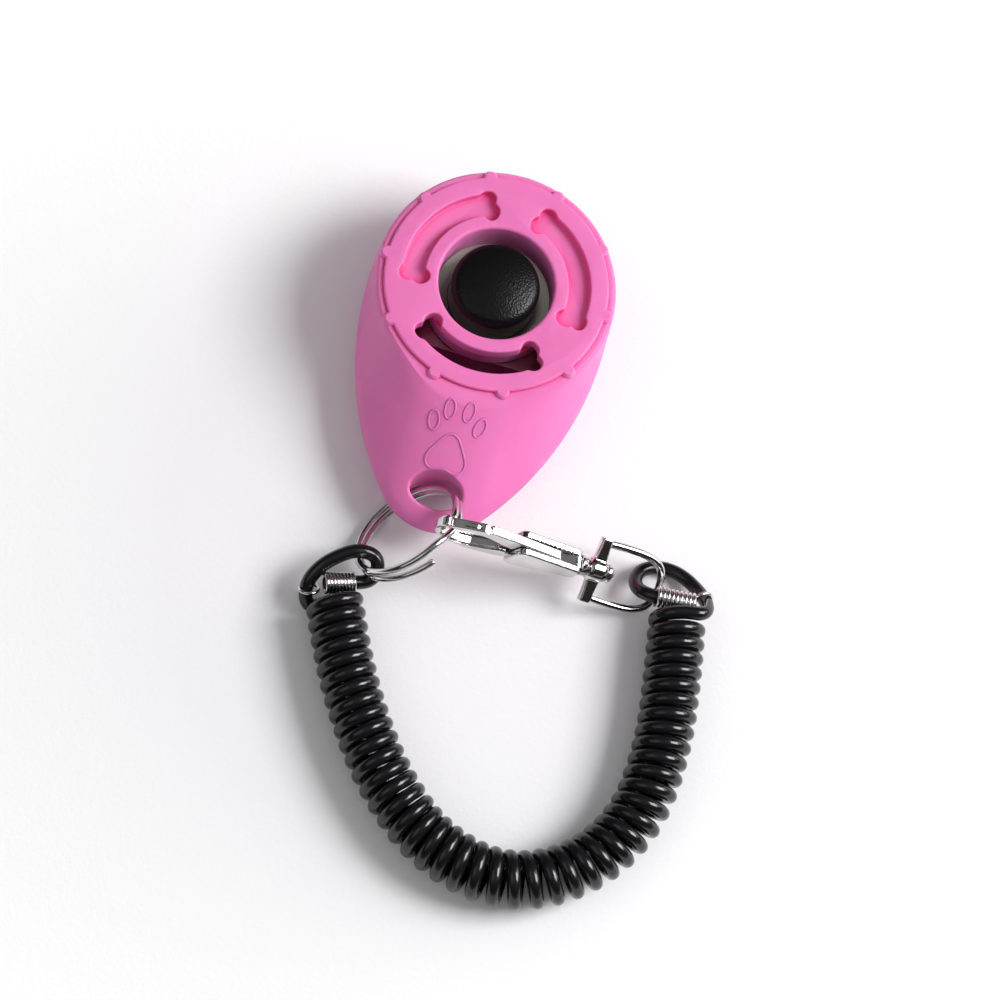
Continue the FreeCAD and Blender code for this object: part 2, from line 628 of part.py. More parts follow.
def clasp_body():
    """A slim rigid hook on a block with two cheeks, the lever's slot between them."""
    hook = slab([
        [(13.6, -2.1)],
        [(13.6, -5.0)],
        [(8.5, -6.35), (2.0, -5.75)],
        [(-1.9, -3.9), (-2.95, -0.2)],
        [(-2.75, 1.6), (-2.0, 2.4)],
        [(-1.6, 2.1)],
        [(-1.6, -0.6)],
        [(-0.9, -3.2), (1.4, -4.4)],
        [(5.6, -4.9), (9.4, -3.5)],
        [(10.15, -2.9), (10.4, -2.1)],
    ], size("hook_half"))
    block = slab([
        [(13.1, 3.1)], [(24.6, 1.9)], [(25.2, 1.3)], [(25.2, -1.5)], [(24.6, -2.1)], [(17.0, -4.1)],
        [(13.1, -4.9)], [(12.3, -4.0)], [(12.3, 2.0)],
    ], size("clasp_half"))
    slot = size("slot_half")
    cuts = [Part.makeBox(end - start, 2 * slot, 16, Vector(start, -slot, floor))
            for start, end, floor in ((12.0, 16.9, -3.1), (16.8, 20.3, -10), (20.2, 20.9, 0.3), (20.8, 24.1, 1.0))]
    cuts.append(Part.makeCylinder(size("pivot_radius"), 10, Vector(size("pivot_x"), -5, size("pivot_z")),
                                  Vector(0, 1, 0)))
    cuts.append(Part.makeCylinder(size("pin_radius"), 2.0, Vector(24.3, 0, 0), Vector(1, 0, 0)))
    return feature("clasp_body", hook.fuse(block).cut(Part.makeCompound(cuts)).removeSplitter(), clasp_placement())


def clasp_gate():
    """The lever: a closing arm, a hub on the pin and a thumb knob under the slot."""
    x, z = size("pivot_x"), size("pivot_z")
    lever = slab([
        [(20.6, 1.95)], [(20.6, 1.0)], [(19.6, -0.4)], [(19.5, -5.4)],
        [(18.4, -6.5), (17.3, -5.4)],
        [(17.2, -0.9)], [(16.0, -1.2)], [(13.6, -1.2)], [(10.4, -0.2)], [(4.4, 1.9)], [(-0.6, 0.9)],
        [(-1.35, 1.4), (-0.8, 2.05)],
        [(4.5, 4.0)], [(4.7, 3.55)], [(5.5, 3.5)], [(5.7, 4.2)],
    ], size("lever_half"))
    bore = Part.makeCylinder(size("pivot_radius") + 0.04, 10, Vector(x, -5, z), Vector(0, 1, 0))
    return feature("clasp_gate", lever.cut(bore), clasp_placement())


def gate_pin():
    half = size("clasp_half")
    pin = Part.makeCylinder(size("pivot_radius"), 2 * half, Vector(size("pivot_x"), -half, size("pivot_z")),
                            Vector(0, 1, 0))
    return feature("gate_pin", pin, clasp_placement())


def gate_spring():
    """A small compression spring under the lever, on the slot's floor."""
    wire, radius, rise, turns = 0.2, 0.6, 0.55, 2
    points = [Vector(14.2 + radius * math.cos(a), radius * math.sin(a), -2.88 + rise * a / (2 * math.pi))
              for a in (2 * math.pi * step / 24 for step in range(24 * turns + 1))]
    line = Part.BSplineCurve()
    line.interpolate(points)
    profile = Part.Wire(Part.makeCircle(wire, points[0], line.tangent(line.FirstParameter)[0]))
    return feature("gate_spring", Part.Wire(line.toShape()).makePipeShell([profile], True, False), clasp_placement())


def swivel_pin():
    """The pin that the bail turns on: neck, shank and riveted head."""
    along = Vector(1, 0, 0)
    shank = Part.makeCylinder(size("pin_radius"), 6.7, Vector(24.3, 0, 0), along)
    neck = Part.makeCylinder(1.9, 1.5, Vector(25.2, 0, 0), along)
    head = Part.makeCylinder(1.7, 1.3, Vector(30.7, 0, 0), along)
    head = head.makeFillet(0.5, [e for e in head.Edges if abs(e.BoundBox.XMin - 32.0) < 0.01])
    return feature("swivel_pin", shank.fuse([neck, head]).removeSplitter(), clasp_placement())


def swivel_bail():
    """A barrel on the swivel pin, a flat crossbar with squared ends and a round wire bow."""
    bar_x, half, centre = size("bail_bar_x"), size("bail_half"), size("bail_centre_x")
    wire = size("bail_wire")
    along = Vector(1, 0, 0)
    barrel = Part.makeCylinder(2.1, 3.6, Vector(bar_x - 1.8, 0, 0), along)
    bar = Part.makeBox(2.2, 2 * half + 1.9, 1.9, Vector(bar_x - 1.1, -half - 0.95, -0.95))
    bar = bar.makeFillet(0.4, bar.Edges)
    sides = [Part.makeCylinder(wire, centre - bar_x, Vector(bar_x, side * half, 0), along) for side in (-1, 1)]
    bow = Part.makeTorus(half, wire, Vector(centre, 0, 0), Vector(0, 0, 1), -180, 180, 180)
    bow.rotate(Vector(centre, 0, 0), Vector(0, 0, 1), -90)
    bore = Part.makeCylinder(size("bail_bore"), 10, Vector(bar_x - 5, 0, 0), along)
    bail = barrel.fuse([bar, *sides, bow]).cut(bore).removeSplitter()
    bail.rotate(Vector(), along, size("bail_turn"))
    return feature("swivel_bail", bail, clasp_placement())


# ---------------------------------------------------------------- wrist lead

def rounded_path(points, name):
    """Straight runs joined by tangent arcs as large as the two runs of each corner allow."""
    edges, radii, start = [], [], points[0]
    for before, corner, after in zip(points, points[1:], points[2:]):
        run_in, run_out = corner - before, after - corner
        half_turn = run_in.getAngle(run_out) / 2
        reach = 0.45 * min(run_in.Length, run_out.Length)
        radii.append(reach / math.tan(half_turn))
        into = corner - Vector(run_in).normalize() * reach
        out = corner + Vector(run_out).normalize() * reach
        centre_way = (Vector(run_out).normalize() - Vector(run_in).normalize()).normalize()
        centre = corner + centre_way * (radii[-1] / math.cos(half_turn))
        middle = centre - centre_way * radii[-1]
        edges.append(Part.LineSegment(start, into).toShape())
        edges.append(Part.Arc(into, middle, out).toShape())
        start = out
    edges.append(Part.LineSegment(start, points[-1]).toShape())
    print(name, "radii", [round(r, 1) for r in radii])
    return Part.Wire(edges)


def tube(label, points, radius):
    path = rounded_path(points, label)
    first = path.Edges[0]
    way = first.tangentAt(first.FirstParameter)
    profile = Part.Wire(Part.makeCircle(radius, points[0], way))
    solid = path.makePipeShell([profile], True, False)
    section = math.pi * radius ** 2
    print(label, "length %.1f volume/section %.3f" % (path.Length, solid.Volume / section / path.Length))
    return feature(label, solid)


def coil_cord():
    """The whole coil as one closed tube of its outside diameter."""
    return tube("coil_cord", [Vector(x, y, size("coil_z")) for x, y in COIL_ROUTE], size("coil_radius"))


def end_loop(label, route):
    return tube(label, [Vector(*point) for point in route], size("cord_radius"))


def wire_wrap(label, ends):
    start, end = ends
    way = end - start
    outer = Part.makeCylinder(size("wrap_radius"), way.Length, start, way)
    bore = Part.makeCylinder(size("cord_radius"), way.Length, start, way)
    return feature(label, outer.cut(bore))


def binding_ring(label, route):
    """A single wire ring round the cord where its loop leaves the coil."""
    centre, way = Vector(*route[1]), Vector(*route[2]) - Vector(*route[0])
    return feature(label, Part.makeTorus(size("band_radius"), size("band_wire"), centre, way))


def build():
    pieces = [
        upper_shell(), lower_shell(), button_cap(), button_clip(), click_plate(), case_screws(), plate_screws(),
        split_ring(), clasp_body(), clasp_gate(), gate_pin(), gate_spring(), swivel_pin(), swivel_bail(),
        coil_cord(), end_loop("cord_loop_left", LEFT_LOOP), end_loop("cord_loop_right", RIGHT_LOOP),
        wire_wrap("wire_wrap_left", LEFT_WRAP), wire_wrap("wire_wrap_right", RIGHT_WRAP),
        binding_ring("binding_ring_left", LEFT_LOOP), binding_ring("binding_ring_right", RIGHT_LOOP),
    ]
    doc.recompute()
    for item in doc.Objects:
        if {"Invalid", "Error"} & set(item.State):
            raise RuntimeError(f"{item.Name} is {item.State}")
    os.makedirs("parts", exist_ok=True)
    for piece in pieces:
        shape = piece.Shape
        if shape.isNull() or not shape.isValid():
            raise RuntimeError(f"{piece.Label} has no valid shape")
        print("%-20s solids %d volume %.1f" % (piece.Label, len(shape.Solids), shape.Volume))
        shape.exportStep(f"parts/{piece.Label}.step")


build()
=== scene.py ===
import math

import bmesh
import bpy
import numpy as np
from mathutils import Matrix, Vector


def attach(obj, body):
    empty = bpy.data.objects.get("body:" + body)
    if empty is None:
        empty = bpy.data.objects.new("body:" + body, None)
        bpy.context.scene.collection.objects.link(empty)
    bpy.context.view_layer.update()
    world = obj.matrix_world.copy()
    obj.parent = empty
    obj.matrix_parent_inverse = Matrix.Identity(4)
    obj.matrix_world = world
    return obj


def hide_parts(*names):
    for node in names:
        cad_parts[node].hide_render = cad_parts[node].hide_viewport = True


# Lengths below are millimetres unless a name says otherwise; meshes are made in metres.
MM = 0.001

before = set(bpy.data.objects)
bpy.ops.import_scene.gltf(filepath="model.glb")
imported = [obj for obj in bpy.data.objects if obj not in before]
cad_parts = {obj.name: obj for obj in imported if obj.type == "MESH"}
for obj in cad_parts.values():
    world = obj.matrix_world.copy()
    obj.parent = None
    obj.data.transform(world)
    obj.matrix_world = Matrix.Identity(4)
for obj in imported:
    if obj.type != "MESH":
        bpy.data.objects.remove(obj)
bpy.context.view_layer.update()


# ---------------------------------------------------------------- camera

def add_camera():
    azimuth, elevation, roll = math.radians(-7), math.radians(72), math.radians(23)
    target = Vector((11.64, -31.90, 0)) * MM
    back = Vector((math.sin(azimuth) * math.cos(elevation), -math.cos(azimuth) * math.cos(elevation),
                   math.sin(elevation)))
    level = Vector((math.cos(azimuth), math.sin(azimuth), 0))
    upright = back.cross(level)
    right = level * math.cos(roll) + upright * math.sin(roll)
    up = upright * math.cos(roll) - level * math.sin(roll)
    data = bpy.data.cameras.new("camera")
    data.lens, data.sensor_width = 141.1, 36
    data.clip_start, data.clip_end = 0.01, 20
    camera = bpy.data.objects.new("camera", data)
    turn = Matrix((right, up, back)).transposed().to_4x4()
    camera.matrix_world = Matrix.Translation(target + back * 0.7) @ turn
    bpy.context.collection.objects.link(camera)
    bpy.context.scene.camera = camera


# ---------------------------------------------------------------- mesh helpers

def add_mesh(name, verts, faces):
    """A linked mesh object from points in millimetres."""
    mesh = bpy.data.meshes.new(name)
    mesh.from_pydata([tuple(float(c) * MM for c in v) for v in verts], [], faces)
    obj = bpy.data.objects.new(name, mesh)
    bpy.context.collection.objects.link(obj)
    fix = bmesh.new()
    fix.from_mesh(mesh)
    bmesh.ops.recalc_face_normals(fix, faces=fix.faces)
    fix.to_mesh(mesh)
    fix.free()
    return obj


def loft(name, rings, closed=False):
    """A closed solid through rings of equally many points; closed joins the last to the first."""
    count = len(rings[0])
    verts = [p for ring in rings for p in ring]
    faces = []
    pairs = len(rings) if closed else len(rings) - 1
    for i in range(pairs):
        a, b = i * count, (i + 1) % len(rings) * count
        faces += [(a + j, a + (j + 1) % count, b + (j + 1) % count, b + j) for j in range(count)]
    if not closed:
        last = (len(rings) - 1) * count
        faces.append(tuple(reversed(range(count))))
        faces.append(tuple(range(last, last + count)))
    return add_mesh(name, verts, faces)


def transport(path, closed=False):
    """Tangents and two side vectors along a path, turning as little as they can."""
    path = np.asarray(path, float)
    if closed:
        ahead, behind = np.roll(path, -1, 0), np.roll(path, 1, 0)
    else:
        ahead, behind = np.vstack([path[1:], path[-1:]]), np.vstack([path[:1], path[:-1]])
    tangents = ahead - behind
    tangents /= np.linalg.norm(tangents, axis=1)[:, None]
    side = np.cross(tangents[0], (0, 0, 1.0))
    if np.linalg.norm(side) < 0.1:
        side = np.cross(tangents[0], (1.0, 0, 0))
    sides = []
    for t in tangents:
        side = side - t * side.dot(t)
        side = side / np.linalg.norm(side)
        sides.append(side)
    sides = np.array(sides)
    return tangents, sides, np.cross(tangents, sides)


def circle_section(radius, count):
    angles = np.linspace(0, 2 * math.pi, count, endpoint=False)
    return np.stack([np.cos(angles) * radius, np.sin(angles) * radius], 1)


def sweep(name, path, section, closed=False, dome=0.0):
    """A tube of one cross-section along a path. dome rounds its two ends by that length."""
    path = np.asarray(path, float)
    tangents, across, upward = transport(path, closed)
    rings = [p + section[:, :1] * a + section[:, 1:] * b for p, a, b in zip(path, across, upward)]
    if dome and not closed:
        for end, way in ((0, -1), (-1, 1)):
            caps = []
            for step in (0.5, 0.85, 0.98):
                grow = math.sqrt(1 - step ** 2)
                centre = path[end] + tangents[end] * way * dome * step
                caps.append(centre + grow * (section[:, :1] * across[end] + section[:, 1:] * upward[end]))
            rings = list(reversed(caps)) + rings if end == 0 else rings + caps
    return loft(name, rings, closed)


def join(name, objects):
    """One object made of several, as separate closed shells."""
    merged = bmesh.new()
    for obj in objects:
        merged.from_mesh(obj.data)
        remove(obj)
    mesh = bpy.data.meshes.new(name)
    merged.to_mesh(mesh)
    merged.free()
    obj = bpy.data.objects.new(name, mesh)
    bpy.context.collection.objects.link(obj)
    return obj


def remove(obj):
    mesh = obj.data
    bpy.data.objects.remove(obj)
    bpy.data.meshes.remove(mesh)


def bake(obj):
    """Replaces the object's mesh by what its modifiers make of it."""
    graph = bpy.context.evaluated_depsgraph_get()
    mesh = bpy.data.meshes.new_from_object(obj.evaluated_get(graph))
    old = obj.data
    obj.modifiers.clear()
    obj.data = mesh
    bpy.data.meshes.remove(old)


def carve(obj, cutters, operation):
    """Booleans the cutters into the object one by one and removes them; an empty result stops the script."""
    for cutter in cutters:
        modifier = obj.modifiers.new("carve", "BOOLEAN")
        modifier.operation, modifier.solver, modifier.object = operation, "EXACT", cutter
        bake(obj)
        if not obj.data.polygons:
            raise RuntimeError(f"{operation} by {cutter.name} left nothing of {obj.name}")
        remove(cutter)


def smooth(obj, angle=35):
    """Smooth shading that keeps edges sharper than the angle and favours the large faces."""
    obj.data.shade_smooth()
    obj.data.set_sharp_from_angle(angle=math.radians(angle))
    modifier = obj.modifiers.new("normals", "WEIGHTED_NORMAL")
    modifier.keep_sharp = True


def cast(obj, voxel, passes):
    """Melts an assembled solid into one skin with soft inner and outer edges."""
    modifier = obj.modifiers.new("melt", "REMESH")
    modifier.mode, modifier.voxel_size = "VOXEL", voxel * MM
    soften = obj.modifiers.new("soften", "SMOOTH")
    soften.factor, soften.iterations = 0.5, passes
    bake(obj)
    obj.data.shade_smooth()


# ---------------------------------------------------------------- lines

def nurbs_line(points, resolution=40):
    """Points along the NURBS spline that has these control points."""
    data = bpy.data.curves.new("route", "CURVE")
    data.dimensions = "3D"
    spline = data.splines.new("NURBS")
    spline.points.add(len(points) - 1)
    for slot, point in zip(spline.points, points):
        slot.co = (*(c * MM for c in point), 1)
    spline.order_u = 3
    spline.use_endpoint_u = True
    spline.resolution_u = resolution
    obj = bpy.data.objects.new("route", data)
    bpy.context.collection.objects.link(obj)
    graph = bpy.context.evaluated_depsgraph_get()
    mesh = bpy.data.meshes.new_from_object(obj.evaluated_get(graph))
    line = np.array([v.co[:] for v in mesh.vertices]) / MM
    bpy.data.meshes.remove(mesh)
    bpy.data.objects.remove(obj)
    bpy.data.curves.remove(data)
    return line


def even(line, step):
    """The line again, with points evenly spaced along it."""
    line = np.asarray(line, float)
    run = np.concatenate([[0], np.cumsum(np.linalg.norm(np.diff(line, axis=0), axis=1))])
    wanted = np.linspace(0, run[-1], max(3, round(run[-1] / step) + 1))
    return np.stack([np.interp(wanted, run, line[:, k]) for k in range(3)], 1)


def blurred(values, width):
    reach = np.arange(-3 * width, 3 * width + 1)
    kernel = np.exp(-0.5 * (reach / width) ** 2)
    kernel /= kernel.sum()
    padded = np.pad(values, len(reach) // 2, mode="edge")
    return np.convolve(padded, kernel, mode="valid")


# ---------------------------------------------------------------- wrist lead

CORD_RADIUS = 1.25
TURN_RADIUS = 4.0
COIL_Z = 5.3

COIL_ROUTE = [
    (-11.9, -59.6), (-8.4, -67.8), (-2.2, -78.6), (5.6, -88.9), (16.0, -97.4), (29.5, -100.3),
    (41.6, -94.6), (49.3, -83.5), (50.6, -69.5), (49.2, -56.5), (47.2, -45.3),
]
# Each loop from its cut end, round what it holds, and into the coil's last turn.
LEFT_LOOP = [
    (-14.1, -57.6, 6.5), (-10.0, -56.0, 5.4), (-6.0, -54.4, 4.5), (-6.1, -50.3, 6.1), (-9.9, -50.2, 7.4),
    (-13.0, -52.2, 7.4), (-15.9, -55.0, 6.8), (-17.5, -58.6, 5.2), (-16.1, -61.4, 1.3),
]
RIGHT_LOOP = [
    (49.2, -42.6, 7.2), (45.0, -43.0, 7.2), (41.2, -43.3, 6.9), (38.5, -42.0, 4.7), (38.4, -38.1, 2.2),
    (41.8, -36.0, 1.4), (45.8, -36.1, 1.6), (49.6, -38.5, 3.0), (52.0, -41.8, 6.0), (51.4, -44.6, 9.3),
]


def unit(v):
    return v / np.linalg.norm(v)


def coil_line():
    """The helix of the wrist lead's coil, close on its straight legs, fanned in its bend."""
    route = even(nurbs_line([(x, y, COIL_Z) for x, y in COIL_ROUTE]), 0.1)
    tangents = np.gradient(route, 0.1, axis=0)
    tangents /= np.linalg.norm(tangents, axis=1)[:, None]
    bend = blurred(np.linalg.norm(np.gradient(tangents, 0.1, axis=0), axis=1), 40)
    run = np.arange(len(route)) * 0.1
    rng = np.random.default_rng(7)
    wander = blurred(rng.normal(0, 1, len(route)), 25)
    wander *= 0.018 / wander.std()
    gap = 2.60 / (1 - TURN_RADIUS * np.clip(bend, 0, 0.06)) * (1 + wander)
    phase = np.cumsum(0.1 / gap) * 2 * math.pi
    phase -= phase[0]
    turns = round((phase[-1] - math.pi) / (2 * math.pi))
    phase *= (2 * math.pi * turns + math.pi) / phase[-1]
    phase -= math.pi / 2
    fine = np.arange(0, run[-1], 0.035)
    phase_fine = np.interp(fine, run, phase)
    centre = np.stack([np.interp(fine, run, route[:, k]) for k in range(3)], 1)
    along = np.stack([np.interp(fine, run, tangents[:, k]) for k in range(3)], 1)
    side = np.cross((0, 0, 1.0), along)
    side /= np.linalg.norm(side, axis=1)[:, None]
    ends = np.minimum(fine, fine[-1] - fine)
    slack = 1 - 0.03 * np.exp(-ends / 2)
    reach = TURN_RADIUS * slack[:, None]
    return centre + reach * (np.cos(phase_fine)[:, None] * side + np.sin(phase_fine)[:, None] * np.array((0, 0, 1.0)))


def wrist_cord():
    coil = coil_line()
    lead = 1.5  # straight run that carries the coil's direction into each loop
    lead_in = coil[0] + lead * unit(coil[0] - coil[1])
    lead_out = coil[-1] + lead * unit(coil[-1] - coil[-2])
    left = nurbs_line(LEFT_LOOP + [tuple(lead_in), tuple(coil[0])])
    right = nurbs_line(RIGHT_LOOP + [tuple(lead_out), tuple(coil[-1])])[::-1]
    line = even(np.vstack([left[:-1], coil, right[1:]]), 0.5)
    for _ in range(2):
        line[1:-1] = line[1:-1] * 0.5 + (line[:-2] + line[2:]) * 0.25
    cord = sweep("wrist_cord", line, circle_section(CORD_RADIUS, 16), dome=0.5)
    cord.data.shade_smooth()
    return cord, line


def wire_wrap(name, start, end, turns, radius):
    """Fine wire wound tightly round the cord where a loop closes on itself."""
    start, end = np.array(start, float), np.array(end, float)
    way = (end - start) / np.linalg.norm(end - start)
    across = np.cross(way, (0, 0, 1.0))
    across /= np.linalg.norm(across)
    upward = np.cross(way, across)
    t = np.linspace(0, 1, turns * 28)
    angle = t * turns * 2 * math.pi
    line = (start + np.outer(t, end - start) + radius * np.outer(np.cos(angle), across)
            + radius * np.outer(np.sin(angle), upward))
    wrap = sweep(name, line, circle_section(0.36, 10), dome=0.3)
    wrap.data.shade_smooth()
    return wrap


def binding_ring(name, centre, way, radius, stretch=1.0):
    """A single ring of the same wire round the cord beside its wrap."""
    way = np.array(way, float) / np.linalg.norm(way)
    across = np.cross(way, (0, 0, 1.0))
    across /= np.linalg.norm(across)
    upward = np.cross(way, across)
    angle = np.linspace(0, 2 * math.pi, 48, endpoint=False)
    line = (np.array(centre) + radius * np.outer(np.cos(angle), across)
            + radius * stretch * np.outer(np.sin(angle), upward))
    ring = sweep(name, line, circle_section(0.33, 10), closed=True)
    ring.data.shade_smooth()
    return ring


# ---------------------------------------------------------------- egg outlines

SIDE_RADIUS = 60.0
UPPER = [(8.0, 22.0, 44.0, 11.5), (9.6, 21.95, 42.3, 11.5), (11.2, 21.9, 39.4, 11.5), (13.6, 21.8, 34.8, 11.5),
         (16.6, 21.6, 28.6, 12.0), (18.3, 21.45, 25.0, 13.6), (18.9, 21.2, 23.6, 14.4), (19.2, 20.8, 22.9, 15.0)]
UPPER_CAVITY = [(6.0, 20.0, 31.5, 11.0), (12.0, 19.8, 31.0, 11.0), (15.0, 19.3, 27.0, 12.0), (17.3, 18.5, 21.5, 13.0)]
LOWER = [(0.0, 18.2, 30.6, 11.0), (0.4, 19.1, 31.8, 11.0), (2.0, 20.2, 34.0, 11.0), (4.4, 21.3, 37.9, 11.5),
         (6.2, 21.8, 41.8, 11.5), (8.0, 22.0, 44.0, 11.5)]
LOWER_CAVITY = [(2.0, 17.0, 28.2, 10.5), (5.0, 19.2, 30.8, 11.0), (9.0, 20.0, 31.5, 11.0)]


def monotone(xs, ys, x):
    """Smooth values through the given ones with no overshoot between them."""
    xs, ys = np.array(xs, float), np.array(ys, float)
    step, slope = np.diff(xs), np.diff(ys) / np.diff(xs)
    tangent = np.concatenate([slope[:1], (slope[1:] + slope[:-1]) / 2, slope[-1:]])
    for i, s in enumerate(slope):
        if s == 0:
            tangent[i] = tangent[i + 1] = 0
            continue
        a, b = tangent[i] / s, tangent[i + 1] / s
        if a * a + b * b > 9:
            shrink = 3 / math.hypot(a, b)
            tangent[i], tangent[i + 1] = shrink * a * s, shrink * b * s
    i = np.clip(np.searchsorted(xs, x) - 1, 0, len(step) - 1)
    t = (x - xs[i]) / step[i]
    return ((1 + 2 * t) * (1 - t) ** 2 * ys[i] + t * (1 - t) ** 2 * step[i] * tangent[i]
            + t * t * (3 - 2 * t) * ys[i + 1] + t * t * (t - 1) * step[i] * tangent[i + 1])


def section_at(table, z):
    heights = [row[0] for row in table]
    return tuple(float(monotone(heights, [row[k] for row in table], z)) for k in (1, 2, 3))


def egg_ring(big, reach, tip, z, inset=0.0):
    """Points round one egg outline, from the round end's right side, anticlockwise."""
    drop = reach - tip
    side_y = ((SIDE_RADIUS - tip) ** 2 - (SIDE_RADIUS - big) ** 2 - drop ** 2) / (2 * drop)
    side_x = math.sqrt((SIDE_RADIUS - big) ** 2 - side_y ** 2)
    upper, lower = math.atan2(-side_y, side_x), math.atan2(-drop - side_y, side_x)
    arcs = ((0, 0, big, upper, math.pi - upper, 150),
            (side_x, side_y, SIDE_RADIUS, math.pi - upper, math.pi - lower, 56),
            (0, -drop, tip, math.pi - lower, 2 * math.pi + lower, 84),
            (-side_x, side_y, SIDE_RADIUS, lower, upper, 56))
    points = []
    for x, y, radius, start, end, count in arcs:
        for angle in np.linspace(start, end, count, endpoint=False):
            points.append((x + (radius - inset) * math.cos(angle), y + (radius - inset) * math.sin(angle), z))
    return points


def egg_solid(name, table, heights):
    """A solid through the table's outlines at these (height, inset) steps."""
    return loft(name, [egg_ring(*section_at(table, z), z, inset) for z, inset in heights])


def egg_gap(x, y, big, reach, tip):
    """How far (x, y) lies outside an egg outline."""
    drop = reach - tip
    side_y = ((SIDE_RADIUS - tip) ** 2 - (SIDE_RADIUS - big) ** 2 - drop ** 2) / (2 * drop)
    side_x = math.sqrt((SIDE_RADIUS - big) ** 2 - side_y ** 2)
    angle = math.atan2(y - side_y, abs(x) + side_x)
    if angle > math.atan2(-side_y, side_x):
        return math.hypot(x, y) - big
    if angle < math.atan2(-drop - side_y, side_x):
        return math.hypot(x, y + drop) - tip
    return math.hypot(abs(x) + side_x, y - side_y) - SIDE_RADIUS


def skin_height(table, x, y, low, high):
    """Height of the case's skin above or below (x, y), where the outline shrinks to it."""
    for _ in range(40):
        middle = (low + high) / 2
        if egg_gap(x, y, *section_at(table, middle)) < 0:
            low = middle
        else:
            high = middle
    return (low + high) / 2


# ---------------------------------------------------------------- case

DISC_Z = 20.0
HOLE_RADIUS = 10.3
BONE_RADIUS = 14.8


def spread(outline, distance):
    """The closed outline moved outwards by a distance, or inwards if it is negative."""
    outline = np.asarray(outline, float)
    along = np.roll(outline, -1, 0) - np.roll(outline, 1, 0)
    along /= np.linalg.norm(along, axis=1)[:, None]
    return outline + distance * np.stack([along[:, 1], -along[:, 0]], 1)


def well(name, outline, top, floor, rim, foot=0.0, above=2.0):
    """A cutter whose mouth flares into a rounded rim at a level face and whose floor is filleted."""
    rings = []

    def ring(distance, z):
        rings.append([(x, y, z) for x, y in spread(outline, distance)])

    ring(rim, top + above)
    for angle in np.linspace(90, 0, 7):
        ring(rim * (1 - math.cos(math.radians(angle))), top - rim + rim * math.sin(math.radians(angle)))
    if foot:
        for angle in np.linspace(0, 90, 5):
            ring(-foot * (1 - math.cos(math.radians(angle))), floor + foot - foot * math.sin(math.radians(angle)))
    else:
        ring(0, floor)
    return loft(name, rings)


def disc_radius(angle, inset, knob):
    """Edge of the raised disc and its ten knobs in this direction."""
    pitch = math.radians(36)
    off = (angle + pitch / 2) % pitch - pitch / 2
    bulge = knob ** 2 - (20.0 * math.sin(off)) ** 2
    return max(20.0 - inset, 20.0 * math.cos(off) + math.sqrt(bulge)) if bulge > 0 else 20.0 - inset


def disc_solid():
    """The raised disc, its top edge rounded, with ten knobs that dome over beside it."""
    angles = []
    for k in range(10):
        centre = math.radians(36 * k)
        angles += [centre + math.radians(a) for a in np.linspace(-4.2, 4.2, 25)]
        angles += [centre + math.radians(a) for a in np.linspace(5.0, 31.0, 20)]
    rings, edge = [], 0.42
    steps = [(15.5, 0), (18.9, 0), (19.2, 0), (19.4, 0)]
    steps += [(DISC_Z - edge + edge * math.sin(t), edge * (1 - math.cos(t)))
              for t in np.radians(np.linspace(0, 90, 7))]
    knob_radius, dome_foot, dome_height = 1.45, 18.6, 1.75
    for z, inset in steps:
        knob = knob_radius * math.sqrt(1 - (max(z - dome_foot, 0) / dome_height) ** 2)
        reach = [disc_radius(a, inset, knob) for a in angles]
        rings.append([(r * math.cos(a), r * math.sin(a), z) for r, a in zip(reach, angles)])
    return loft("disc", rings)


def bone_outline(heading):
    """A curved bone about the button: a shaft along an arc and two round lobes at each end,
    the inner lobe fatter and further round than the outer one."""
    half = 1.95
    outer, inner = (math.radians(39.4) * BONE_RADIUS, 1.15), (math.radians(41.0) * BONE_RADIUS, -1.3)
    big, fat = 1.45, 1.7
    gap = math.dist(outer, inner)
    reach = (gap ** 2 + big ** 2 - fat ** 2) / (2 * gap)
    rise = math.sqrt(big ** 2 - reach ** 2)
    way = ((inner[0] - outer[0]) / gap, (inner[1] - outer[1]) / gap)
    notch = (outer[0] + reach * way[0] - rise * way[1], outer[1] + reach * way[1] + rise * way[0])
    flat = [(along, half) for along in np.linspace(0, outer[0] - math.sqrt(big ** 2 - (half - outer[1]) ** 2), 50,
                                                   endpoint=False)]
    to_notch = [math.atan2(notch[1] - lobe[1], notch[0] - lobe[0]) for lobe in (outer, inner)]
    for (x, y), radius, start, stop in (
            (outer, big, math.pi - math.asin((half - outer[1]) / big), to_notch[0]),
            (inner, fat, to_notch[1], math.asin((half + inner[1]) / fat) - math.pi)):
        for angle in np.linspace(start, stop, 34, endpoint=False):
            flat.append((x + radius * math.cos(angle), y + radius * math.sin(angle)))
    flat += [(along, -half) for along in np.linspace(flat[-1][0] - 0.1, 0, 50)]
    flat += [(-along, across) for along, across in reversed(flat)]
    points = []
    for along, across in flat:
        angle = heading - along / BONE_RADIUS
        points.append(((BONE_RADIUS + across) * math.cos(angle), (BONE_RADIUS + across) * math.sin(angle), 0))
    return settled(points, 0.2, 4)


def settled(points, step, passes):
    """A closed outline evenly pointed, its corners eased, running anticlockwise."""
    outline = even(np.vstack([points, points[:1]]), step)[:-1, :2]
    for _ in range(passes):
        outline = outline * 0.5 + (np.roll(outline, 1, 0) + np.roll(outline, -1, 0)) * 0.25
    area = np.sum(outline[:, 0] * np.roll(outline[:, 1], -1) - outline[:, 1] * np.roll(outline[:, 0], -1))
    return outline if area > 0 else outline[::-1]


def circle_outline(radius, count=180, x=0.0, y=0.0):
    angles = np.linspace(0, 2 * math.pi, count, endpoint=False)
    return np.stack([x + radius * np.cos(angles), y + radius * np.sin(angles)], 1)


def post(x, y, radius, low, high, count=32):
    return loft("post", [[(px, py, z) for px, py in circle_outline(radius, count, x, y)] for z in (low, high)])


